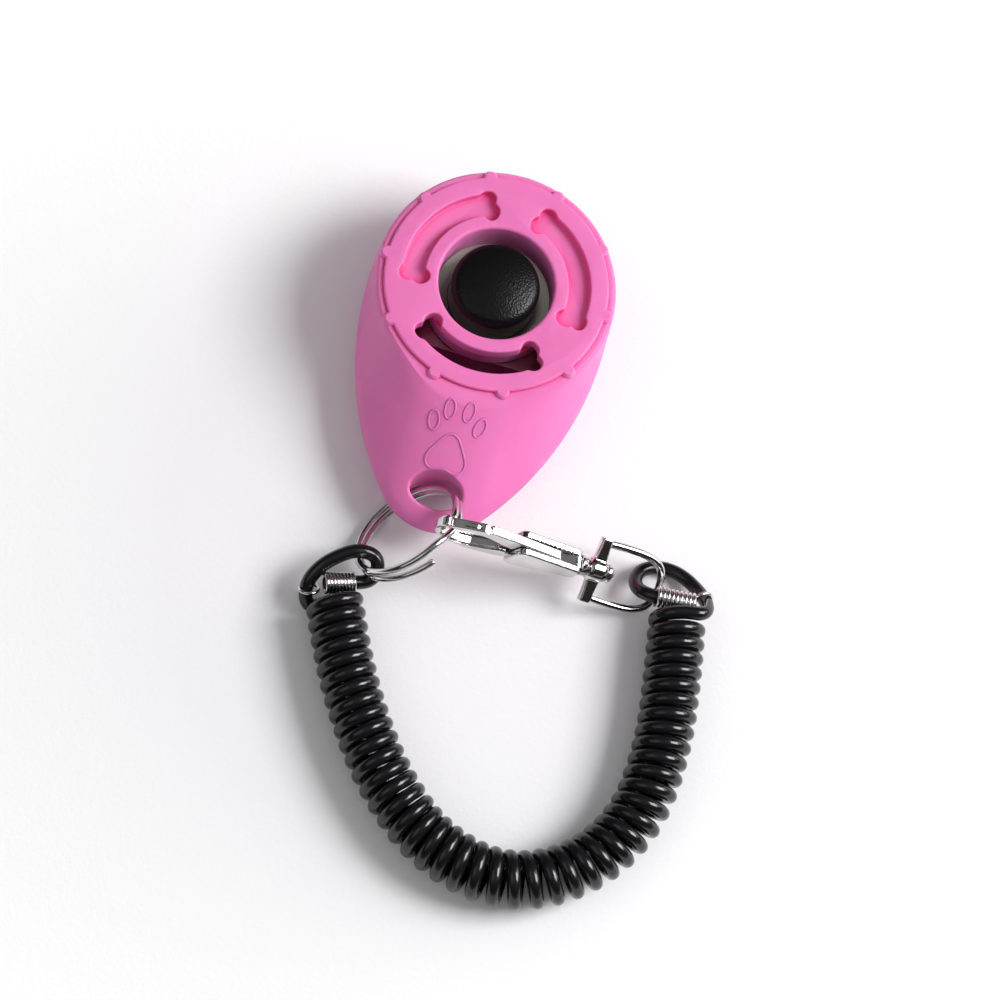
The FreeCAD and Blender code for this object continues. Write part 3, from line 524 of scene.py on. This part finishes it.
def eye_outline():
    """The key-ring hole: an oval across the case."""
    angles = np.linspace(0, 2 * math.pi, 400, endpoint=False)
    return settled([(4.75 * math.cos(a), 3.0 * math.sin(a) - 37.25, 0) for a in angles], 0.25, 0)


def eye_cutter(table, low, high, rim, upper):
    """A cutter for the key-ring hole with a rounded rim on the sloping skin."""
    outline = eye_outline()
    sign = 1 if upper else -1
    normals = spread(outline, 1.0) - outline
    rings = [[] for _ in range(12)]
    for (x, y), (nx, ny) in zip(outline, normals):
        def skin(distance):
            return sign * skin_height(table, x + nx * distance, y + ny * distance, low, high)
        step = 0.3
        slope = (skin(rim + step) - skin(max(rim - step, 0))) / (rim + step - max(rim - step, 0))
        slope = max(-2.0, min(2.0, slope))
        base = skin(rim) - slope * rim
        length = math.sqrt(1 + slope * slope)
        centre = base + slope * rim - rim * length
        top_angle = math.atan2(1, -slope)
        rings[0].append((x, y, sign * (centre - 12)))
        angles = np.linspace(math.pi, top_angle, 8)
        for index, angle in enumerate(angles, 1):
            out, rise = rim + rim * math.cos(angle), centre + rim * math.sin(angle)
            rings[index].append((x + nx * out, y + ny * out, sign * rise))
        out, rise = rim + rim * math.cos(top_angle), centre + rim * math.sin(top_angle)
        out, rise = out + 0.7 / length, rise + (0.7 * slope + 0.28) / length
        rings[9].append((x + nx * out, y + ny * out, sign * rise))
        rings[10].append((x + nx * out, y + ny * out, sign * (rise + 2.5)))
        rings[11].append((x + nx * out, y + ny * out, sign * 26.0))
    return loft("eye", rings)


def upper_shell():
    heights = [(8.0, 0.16), (8.06, 0.05), (8.16, 0.0)] + [(z, 0) for z in np.linspace(8.5, 18.9, 34)] + [(19.2, 0)]
    shell = egg_solid("upper_case", UPPER, heights)
    carve(shell, [disc_solid()], "UNION")
    carve(shell, [egg_solid("cavity", UPPER_CAVITY, [(z, 0) for z in np.linspace(6.0, 17.3, 14)])], "DIFFERENCE")
    posts = [post(0, 0, 12.3, 12.6, 18.4, 120), post(8.5, 13.2, 2.4, 8.02, 17.9), post(-8.5, 13.2, 2.4, 8.02, 17.9),
             post(0, -27.0, 2.4, 8.02, 15.2)]
    posts += [post(side * 14.4, across * 6.0, 1.9, 12.32, 17.9) for side in (-1, 1) for across in (-1, 1)]
    carve(shell, posts, "UNION")
    rim = [p for p in circle_outline(HOLE_RADIUS)]
    cuts = [well("hole", rim, DISC_Z, 12.0, 0.55)]
    cuts += [well("bone", bone_outline(math.radians(a)), DISC_Z, 18.3, 0.3, foot=0.3) for a in (30, 150)]
    cuts.append(well("slot", bone_outline(math.radians(270)), DISC_Z, 16.4, 0.3))
    cuts.append(eye_cutter(UPPER, 8.0, 19.2, 0.45, True))
    carve(shell, cuts, "DIFFERENCE")
    smooth(shell, 30)
    return join("upper_case", [shell] + paw_print())


def paw_print():
    """Raised rims of a paw: a rounded three-lobed pad and four toes, lying on the slope."""
    pad = [(0.0, 3.1), (1.3, 2.5), (2.3, 0.9), (3.5, -0.7), (3.6, -2.3), (2.5, -3.3), (1.0, -3.0), (0.0, -2.6),
           (-1.0, -3.0), (-2.5, -3.3), (-3.6, -2.3), (-3.5, -0.7), (-2.3, 0.9), (-1.3, 2.5)]
    pad = settled([(x, y, 0) for x, y in pad], 0.25, 12) + (0.0, -31.1)
    outlines = [pad]
    for x, y, lean, wide, long in ((-3.95, -26.7, 14, 0.9, 1.6), (-1.75, -24.4, 6, 0.9, 1.65),
                                   (1.65, -24.1, -6, 0.9, 1.65), (4.2, -26.0, -14, 0.9, 1.6)):
        lean = math.radians(lean)
        toe = []
        for a in np.linspace(0, 2 * math.pi, 60, endpoint=False):
            along, across = long * math.sin(a), wide * math.cos(a)
            toe.append((x + across * math.cos(lean) - along * math.sin(lean),
                        y + across * math.sin(lean) + along * math.cos(lean), 0))
        outlines.append(settled(toe, 0.25, 0))
    rims = []
    for outline in outlines:
        line = [(x, y, skin_height(UPPER, x, y, 8.0, 19.2) + 0.02) for x, y in outline]
        rim = sweep("paw_rim", line, circle_section(0.2, 10), closed=True)
        rim.data.shade_smooth()
        rims.append(rim)
    return rims


def lower_shell():
    heights = [(0.0, 0.0), (0.08, 0.0), (0.25, 0.0), (0.5, 0.0)] + [(z, 0) for z in np.linspace(0.9, 7.6, 20)]
    heights += [(7.84, 0.0), (7.94, 0.05), (8.0, 0.16)]
    shell = egg_solid("lower_case", LOWER, heights)
    carve(shell, [egg_solid("cavity", LOWER_CAVITY, [(z, 0) for z in np.linspace(2.0, 9.0, 10)])], "DIFFERENCE")
    centres = ((8.5, 13.2), (-8.5, 13.2), (0.0, -27.0))
    carve(shell, [post(x, y, 2.8, 1.5, 7.98) for x, y in centres], "UNION")
    cuts = [post(x, y, 2.15, -1.0, 3.0) for x, y in centres] + [post(x, y, 1.2, 2.0, 9.0) for x, y in centres]
    carve(shell, cuts, "DIFFERENCE")
    flare = ((-1.0, 0.65), (4.7, 0.65), (5.2, 0.45), (5.5, 0.0), (9.0, 0.0))  # room for the ring below
    eye = loft("eye", [[(x, y, z) for x, y in spread(eye_outline(), out)] for z, out in flare])
    carve(shell, [eye], "DIFFERENCE")
    smooth(shell, 30)
    return shell


def lathe(name, profile, count=128):
    """A solid turned about Z from (radius, height) points that start and end on the axis."""
    rings = []
    for radius, z in profile[1:-1]:
        rings.append([(radius * math.cos(a), radius * math.sin(a), z)
                      for a in np.linspace(0, 2 * math.pi, count, endpoint=False)])
    return loft(name, rings)


def button():
    """The push button: straight sides, a generous shoulder and a low dome."""
    profile = [(0, 10.4), (2.3, 10.4), (2.3, 12.35), (7.7, 12.35), (7.9, 12.55), (7.9, 17.9)]
    for angle in np.linspace(6, 72, 14):
        a = math.radians(angle)
        profile.append((5.8 + 2.1 * math.cos(a), 17.9 + 2.1 * math.sin(a)))
    start = profile[-1]
    for t in np.linspace(0.08, 0.985, 14):
        profile.append((start[0] * (1 - t), start[1] + (20.8 - start[1]) * (1 - (1 - t) ** 2)))
    profile.append((0, 20.8))
    cap = lathe("button", profile)
    smooth(cap, 40)
    return cap


# ---------------------------------------------------------------- split ring

RING_CENTRE = np.array((-3.14, -44.94, 9.45))
RING_NORMAL = np.array((-0.70, 0.33, 0.632))


def split_ring():
    """Two turns of one wire, stepping across beside its ends, its tail sprung open."""
    normal = RING_NORMAL / np.linalg.norm(RING_NORMAL)
    level = np.cross(normal, (0, 0, 1.0))
    level /= np.linalg.norm(level)
    upward = np.cross(normal, level)
    sweep_degrees = np.arange(0, 675, 2.5)
    line = []
    for turned in sweep_degrees:
        step = min(max((turned - 318) / 42, 0), 1)
        offset = -1.27 * step * step * (3 - 2 * step)
        if turned > 540:
            offset -= 1.15 * ((turned - 540) / 135) ** 1.6
        angle = math.radians(turned + 300)
        line.append(RING_CENTRE + 10.13 * (math.cos(angle) * level + math.sin(angle) * upward) + offset * normal)
    ring = sweep("split_ring_wire", line, circle_section(0.62, 18), dome=0.25)
    ring.data.shade_smooth()
    return ring


# ---------------------------------------------------------------- snap clasp

CLASP_ORIGIN = (4.41, -44.94, 19.17)
CLASP_HEADING, CLASP_DIP = math.radians(6.5), math.radians(22.4)


def lay(obj, turn=0.0):
    """Moves a piece made along X to where the clasp lies, first turned about the clasp's length."""
    obj.data.transform(Matrix.Translation(Vector(CLASP_ORIGIN) * MM) @ Matrix.Rotation(CLASP_HEADING, 4, "Z")
                       @ Matrix.Rotation(CLASP_DIP, 4, "Y") @ Matrix.Rotation(math.radians(turn), 4, "X"))
    return obj


def slab(name, corners, half, edge, ease=5):
    """A flat piece thick both ways along Y from an XZ outline, with rounded edges."""
    outline = settled([(x, z, 0) for x, z in corners], 0.12, ease)
    rings = []
    for side in (-1, 1):
        turns = np.linspace(90, 0, 5) if side < 0 else np.linspace(0, 90, 5)
        for turn in np.radians(turns):
            inset = spread(outline, -edge * (1 - math.cos(turn)))
            y = side * (half - edge + edge * math.sin(turn))
            rings.append([(x, y, z) for x, z in inset])
    return loft(name, rings)


def block(x0, x1, half, z0, z1):
    """A plain cutter box centred on the clasp's middle plane."""
    corners = ((x0, -half), (x1, -half), (x1, half), (x0, half))
    return loft("block", [[(x, y, z) for x, y in corners] for z in (z0, z1)])


def turned_along(name, profile, count=64):
    """A solid turned about X from (x, radius) points between two end faces."""
    return loft(name, [[(x, radius * math.cos(a), radius * math.sin(a))
                        for a in np.linspace(0, 2 * math.pi, count, endpoint=False)] for x, radius in profile])


def clasp_body():
    """The rigid half: a slim crescent hook grown out of a block with two cheeks and a neck end."""
    hook = [(13.6, -2.3), (13.6, -4.9), (11.5, -5.6), (8.5, -6.2), (5.2, -6.35), (2.0, -5.7), (-0.6, -4.6),
            (-2.2, -2.9), (-2.95, -0.6), (-2.95, 1.0), (-2.5, 2.1), (-1.9, 2.35), (-1.6, 1.9), (-1.6, -0.7),
            (-1.25, -2.4), (-0.3, -3.6), (1.4, -4.45), (3.6, -4.75), (6.0, -4.4), (8.2, -3.6), (9.6, -2.8),
            (10.4, -2.3)]
    cheeks = [(13.0, 3.1), (24.5, 1.9), (25.2, 1.2), (25.2, -1.4), (24.6, -2.1), (17.0, -4.05), (14.2, -4.7),
              (12.4, -4.1), (12.3, 2.2)]
    body = slab("clasp_casting", hook, 1.15, 0.55)
    carve(body, [slab("cheeks", cheeks, 2.25, 0.35)], "UNION")
    cuts = [block(12.0, 16.9, 1.0, -3.1, 8), block(16.8, 20.3, 1.0, -10, 8), block(20.2, 20.9, 1.0, 0.3, 8),
            loft("recess", [[(x, y, z) for x, z in ((20.8, 0.2), (24.1, 1.3), (24.1, 8.0), (20.8, 8.0))]
                            for y in (-1.0, 1.0)])]
    carve(body, cuts, "DIFFERENCE")
    cast(body, 0.1, 3)
    return lay(body)


def clasp_gate():
    """The lever: a channelled closing arm, a hub on its pin and a thumb knob below."""
    lever = [(20.6, 1.95), (20.6, 1.0), (19.6, -0.4), (19.5, -5.2), (19.2, -6.2), (18.4, -6.5), (17.6, -6.2),
             (17.3, -5.2), (17.2, -0.9), (16.0, -1.2), (13.6, -1.2), (10.4, -0.2), (7.0, 1.1), (4.4, 1.75),
             (2.0, 1.6), (-0.6, 0.9), (-1.3, 1.1), (-1.3, 1.7), (-0.8, 2.1), (1.0, 2.9), (4.5, 4.05), (4.7, 3.55),
             (5.5, 3.5), (5.7, 4.2), (9.5, 3.75)]
    gate = slab("clasp_lever", lever, 0.85, 0.22, 3)
    groove = slab("groove", [(-0.9, 2.3), (3.1, 3.4), (3.6, 3.3), (4.2, 6.0), (-1.0, 5.0)], 0.38, 0.1, 2)
    carve(gate, [groove], "DIFFERENCE")
    cast(gate, 0.08, 2)
    return lay(gate)


def gate_pin():
    return lay(slab("gate_pin_shaft", [(15 + 0.58 * math.cos(a), 0.3 + 0.58 * math.sin(a))
                                       for a in np.linspace(0, 2 * math.pi, 24, endpoint=False)], 2.24, 0.1, 0))


def swivel_pin():
    """Neck, shank and riveted head of the pin that the bail turns on."""
    pin = turned_along("swivel_rivet", [
        (24.4, 1.28), (25.2, 1.28), (25.21, 1.75), (25.4, 1.9), (26.2, 1.85), (26.6, 1.6), (26.72, 1.3),
        (30.68, 1.3), (30.7, 1.5), (30.85, 1.68), (31.3, 1.7), (31.75, 1.45), (31.95, 1.0), (32.0, 0.5)])
    smooth(pin, 40)
    return lay(pin)


def swivel_bail():
    """Barrel, flat crossbar with squared ends and round wire bow, in one casting."""
    barrel = turned_along("barrel", [(26.95, 1.75), (27.15, 2.0), (27.6, 2.15), (29.6, 2.15), (30.2, 2.0),
                                     (30.45, 1.75)])
    rings, bar_x, half_length, crown = [], 28.7, 6.0, 0.2
    end_start, end_length, end_round = 5.7, 0.45, 0.25
    for y in np.linspace(-half_length, half_length, 33):
        reach = abs(y) / half_length
        wide, thick = 1.45 - 0.4 * min(1, 1.3 * reach), 0.72 + 0.18 * reach
        end = math.sqrt(max(0.0, 1 - (max(abs(y) - end_start, 0) / end_length) ** 2))
        ring = []
        for a in np.linspace(0, 2 * math.pi, 48, endpoint=False):
            along = math.copysign(abs(math.cos(a)) ** 0.3, math.cos(a)) * (wide - end_round * (1 - end))
            upward = math.copysign(abs(math.sin(a)) ** 0.6, math.sin(a)) * (thick - end_round * (1 - end))
            ring.append((bar_x + along, y, upward + crown * (1 - reach ** 2)))
        rings.append(ring)
    bar = loft("bar", rings)
    bow = nurbs_line([(29.2, 5.15, 0), (33.0, 5.35, 0), (38.0, 5.2, 0), (41.2, 3.6, 0), (42.0, 0, 0), (41.2, -3.6, 0),
                      (38.0, -5.2, 0), (33.0, -5.35, 0), (29.2, -5.15, 0)])
    bow = sweep("swivel_eye", even(bow, 0.3), circle_section(0.74, 20))
    carve(bow, [bar, barrel], "UNION")
    carve(bow, [turned_along("bore", [(26.0, 1.36), (31.5, 1.36)])], "DIFFERENCE")
    cast(bow, 0.1, 3)
    return lay(bow, 29)


# ---------------------------------------------------------------- materials

def material(name):
    made = bpy.data.materials.new(name)
    made.use_nodes = True
    nodes, links = made.node_tree.nodes, made.node_tree.links
    return made, nodes, links, nodes["Principled BSDF"]


def noise(nodes, links, scale, detail=4.0, rough=0.6):
    where = nodes.new("ShaderNodeTexCoord")
    made = nodes.new("ShaderNodeTexNoise")
    made.inputs["Scale"].default_value = scale
    made.inputs["Detail"].default_value = detail
    made.inputs["Roughness"].default_value = rough
    links.new(where.outputs["Object"], made.inputs["Vector"])
    return made.outputs["Fac"]


def bump(nodes, links, shader, height, distance, strength=1.0):
    made = nodes.new("ShaderNodeBump")
    made.inputs["Distance"].default_value = distance
    made.inputs["Strength"].default_value = strength
    links.new(height, made.inputs["Height"])
    links.new(made.outputs["Normal"], shader.inputs["Normal"])


def ramp(nodes, links, value, stops):
    made = nodes.new("ShaderNodeValToRGB")
    while len(made.color_ramp.elements) < len(stops):
        made.color_ramp.elements.new(0.5)
    for element, (place, colour) in zip(made.color_ramp.elements, stops):
        element.position = place
        element.color = (*colour, 1)
    links.new(value, made.inputs["Fac"])
    return made.outputs["Color"]


def pink_plastic():
    """Matt translucent plastic with painted shade: its colour darkened to a deep magenta where the shell's own walls
    close round it.
    """
    made, nodes, links, shader = material("pink_plastic")
    tone = noise(nodes, links, 90, 3)
    surface = ramp(nodes, links, tone, [(0.3, (0.71, 0.165, 0.43)), (0.7, (0.75, 0.185, 0.46))])
    # Painted shade: local ambient occlusion mixes a dark magenta into the base colour in recesses and corners.
    painted_shade_occlusion = nodes.new("ShaderNodeAmbientOcclusion")
    painted_shade_occlusion.only_local = True
    painted_shade_occlusion.inputs["Distance"].default_value = 0.004
    painted_shade_mask = ramp(nodes, links, painted_shade_occlusion.outputs["AO"], [(0.45, (1, 1, 1)), (0.8, (0, 0, 0))])
    painted_shade_mix = nodes.new("ShaderNodeMix")
    painted_shade_mix.data_type = "RGBA"
    links.new(painted_shade_mask, painted_shade_mix.inputs["Factor"])
    open_colour, painted_shade_colour = [socket for socket in painted_shade_mix.inputs if socket.type == "RGBA"]
    links.new(surface, open_colour)
    painted_shade_colour.default_value = (0.78, 0.015, 0.20, 1)
    result = next(socket for socket in painted_shade_mix.outputs if socket.type == "RGBA")
    links.new(result, shader.inputs["Base Color"])
    shader.inputs["Roughness"].default_value = 0.46
    shader.inputs["Specular IOR Level"].default_value = 0.4
    shader.inputs["Subsurface Weight"].default_value = 0.6
    shader.inputs["Subsurface Radius"].default_value = (1.0, 0.15, 0.35)
    shader.inputs["Subsurface Scale"].default_value = 0.0010
    bump(nodes, links, shader, noise(nodes, links, 3800, 3, 0.7), 0.00003, 0.8)
    return made


def button_plastic():
    made, nodes, links, shader = material("button_plastic")
    shader.inputs["Base Color"].default_value = (0.003, 0.003, 0.0033, 1)
    shader.inputs["Roughness"].default_value = 0.32
    shader.inputs["Specular IOR Level"].default_value = 0.25
    where = nodes.new("ShaderNodeTexCoord")
    cells = nodes.new("ShaderNodeTexVoronoi")
    cells.inputs["Scale"].default_value = 2600
    links.new(where.outputs["Object"], cells.inputs["Vector"])
    bump(nodes, links, shader, cells.outputs["Distance"], 0.00006, 0.8)
    return made


def cord_plastic():
    made, nodes, links, shader = material("cord_plastic")
    shader.inputs["Base Color"].default_value = (0.006, 0.006, 0.007, 1)
    gloss = noise(nodes, links, 500, 3)
    links.new(ramp(nodes, links, gloss, [(0.3, (0.14,) * 3), (0.7, (0.24,) * 3)]), shader.inputs["Roughness"])
    bump(nodes, links, shader, noise(nodes, links, 1400, 3), 0.00002, 0.6)
    return made


def metal(name, colour, rough, wave, distance):
    made, nodes, links, shader = material(name)
    shader.inputs["Metallic"].default_value = 1
    shade = noise(nodes, links, 260, 4)
    dark = tuple(c * 0.82 for c in colour)
    links.new(ramp(nodes, links, shade, [(0.35, dark), (0.65, colour)]), shader.inputs["Base Color"])
    finish = noise(nodes, links, 900, 4)
    links.new(ramp(nodes, links, finish, [(0.3, (rough * 0.7,) * 3), (0.7, (rough * 1.4,) * 3)]),
              shader.inputs["Roughness"])
    bump(nodes, links, shader, noise(nodes, links, wave, 3), distance, 0.6)
    return made


def dished_steel():
    """Bright spring steel whose sheen curves like a shallow dish about the button."""
    made, nodes, links, shader = material("spring_steel")
    shader.inputs["Metallic"].default_value = 1
    shader.inputs["Base Color"].default_value = (0.66, 0.62, 0.56, 1)
    shader.inputs["Roughness"].default_value = 0.24
    where = nodes.new("ShaderNodeTexCoord")
    flat = nodes.new("ShaderNodeVectorMath")
    flat.operation = "MULTIPLY"
    flat.inputs[1].default_value = (1, 1, 0)
    links.new(where.outputs["Object"], flat.inputs[0])
    far = nodes.new("ShaderNodeVectorMath")
    far.operation = "LENGTH"
    links.new(flat.outputs["Vector"], far.inputs[0])
    bowl = nodes.new("ShaderNodeMath")
    bowl.operation = "MULTIPLY"
    bowl.inputs[1].default_value = 0.14
    links.new(far.outputs["Value"], bowl.inputs[0])
    bump(nodes, links, shader, bowl.outputs["Value"], 1.0)
    return made


def floor_paper():
    made, nodes, links, shader = material("floor_paper")
    # Painted shade: the floor is grey round the case and turns white further out.
    where = nodes.new("ShaderNodeTexCoord")
    far = nodes.new("ShaderNodeVectorMath")
    far.operation = "DISTANCE"
    far.inputs[1].default_value = (0.012, -0.045, 0)
    links.new(where.outputs["Object"], far.inputs[0])
    painted_shade_falloff = nodes.new("ShaderNodeMapRange")
    painted_shade_falloff.inputs["From Max"].default_value = 0.16
    links.new(far.outputs["Value"], painted_shade_falloff.inputs["Value"])
    tone = ramp(nodes, links, painted_shade_falloff.outputs["Result"], [(0.35, (0.80, 0.79, 0.805)), (0.8, (0.97,) * 3)])
    links.new(tone, shader.inputs["Base Color"])
    shader.inputs["Roughness"].default_value = 0.8
    bump(nodes, links, shader, noise(nodes, links, 900, 4, 0.7), 0.00012, 0.6)
    return made


def paint(obj, made):
    if obj.data.materials:
        for index in range(len(obj.data.materials)):
            obj.data.materials[index] = made
    else:
        obj.data.materials.append(made)


# ---------------------------------------------------------------- stage

def add_world():
    """Even white light, but what polished pieces mirror is a dim room with a pale ceiling."""
    world = bpy.data.worlds.new("world")
    world.use_nodes = True
    nodes, links = world.node_tree.nodes, world.node_tree.links
    where = nodes.new("ShaderNodeTexCoord")
    split = nodes.new("ShaderNodeSeparateXYZ")
    links.new(where.outputs["Generated"], split.inputs["Vector"])
    tones = [(0.0, (0.35,) * 3), (0.25, (0.02, 0.018, 0.017)), (0.62, (0.03, 0.028, 0.026)),
             (0.85, (0.12,) * 3), (1.0, (0.22,) * 3)]
    room = ramp(nodes, links, split.outputs["Z"], tones)
    path = nodes.new("ShaderNodeLightPath")
    mix = nodes.new("ShaderNodeMix")
    mix.data_type = "RGBA"
    links.new(path.outputs["Is Glossy Ray"], mix.inputs["Factor"])
    colours = [socket for socket in mix.inputs if socket.type == "RGBA"]
    colours[0].default_value = (0.40, 0.40, 0.40, 1)
    links.new(room, colours[1])
    result = next(socket for socket in mix.outputs if socket.type == "RGBA")
    links.new(result, nodes["Background"].inputs["Color"])
    bpy.context.scene.world = world


def add_stage():
    half = 1.2
    plane = add_mesh("floor", [(-half / MM, -half / MM, -0.02), (half / MM, -half / MM, -0.02),
                               (half / MM, half / MM, -0.02), (-half / MM, half / MM, -0.02)], [(0, 1, 2, 3)])
    paint(plane, floor_paper())
    add_world()
    lamps = (("key", (0.54, 0.11, 0.57), (0.38, 0.38), 6.6), ("window", (0.64, 0.31, 0.31), (0.34, 0.30), 1.0),
             ("fill", (-0.5, -0.35, 0.8), (0.7, 0.7), 0.8))
    for name, place, area, power in lamps:
        data = bpy.data.lights.new(name, "AREA")
        data.shape, data.size, data.size_y, data.energy = "RECTANGLE", *area, power
        lamp = bpy.data.objects.new(name, data)
        lamp.location = place
        lamp.rotation_euler = (Vector((0.012, -0.03, 0)) - Vector(place)).to_track_quat("-Z", "Y").to_euler()
        bpy.context.collection.objects.link(lamp)
    bpy.context.scene.view_settings.view_transform = "Standard"


# ---------------------------------------------------------------- assembly

def build():
    add_camera()
    cord, line = wrist_cord()
    wraps = [
        wire_wrap("wire_wrap_left_turns", (-9.3, -55.75, 5.3), (-14.3, -57.7, 6.5), 9, CORD_RADIUS + 0.36),
        wire_wrap("wire_wrap_right_turns", (42.4, -43.15, 7.05), (49.3, -42.6, 7.2), 9, CORD_RADIUS + 0.36),
    ]
    bands = [
        binding_ring("binding_ring_left_wire", (-16.6, -59.0, 4.9), (-0.3, 1.0, 1.0), 1.7),
        binding_ring("binding_ring_right_wire", (50.9, -41.2, 5.6), (0.6, -0.7, 0.7), 1.7),
    ]
    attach(cord, "lead")
    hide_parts("coil_cord", "cord_loop_left", "cord_loop_right")
    paint(cord, cord_plastic())
    nickel = metal("nickel_wire", (0.78, 0.77, 0.76), 0.16, 700, 0.00001)
    for piece, node in zip(wraps + bands, ("wire_wrap_left", "wire_wrap_right", "binding_ring_left",
                                           "binding_ring_right")):
        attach(piece, "lead")
        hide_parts(node)
        paint(piece, nickel)

    pink = pink_plastic()
    for piece, node in ((upper_shell(), "upper_shell"), (lower_shell(), "lower_shell")):
        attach(piece, "case")
        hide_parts(node)
        paint(piece, pink)
    cap = button()
    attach(cap, "button")
    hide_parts("button_cap")
    paint(cap, button_plastic())
    ring = split_ring()
    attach(ring, "lead")
    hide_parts("split_ring")
    paint(ring, nickel)

    cast_metal = metal("nickel_cast", (0.80, 0.79, 0.78), 0.10, 350, 0.00002)
    for piece, node, body in ((clasp_body(), "clasp_body", "lead"), (clasp_gate(), "clasp_gate", "gate"),
                              (gate_pin(), "gate_pin", "lead"), (swivel_pin(), "swivel_pin", "lead"),
                              (swivel_bail(), "swivel_bail", "bail")):
        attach(piece, body)
        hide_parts(node)
        paint(piece, cast_metal)
    steel = metal("plated_steel", (0.56, 0.55, 0.53), 0.12, 900, 0.000004)
    for node in ("button_clip", "case_screws", "plate_screws", "gate_spring"):
        paint(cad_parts[node], steel)
    paint(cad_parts["click_plate"], dished_steel())
    add_stage()


build()
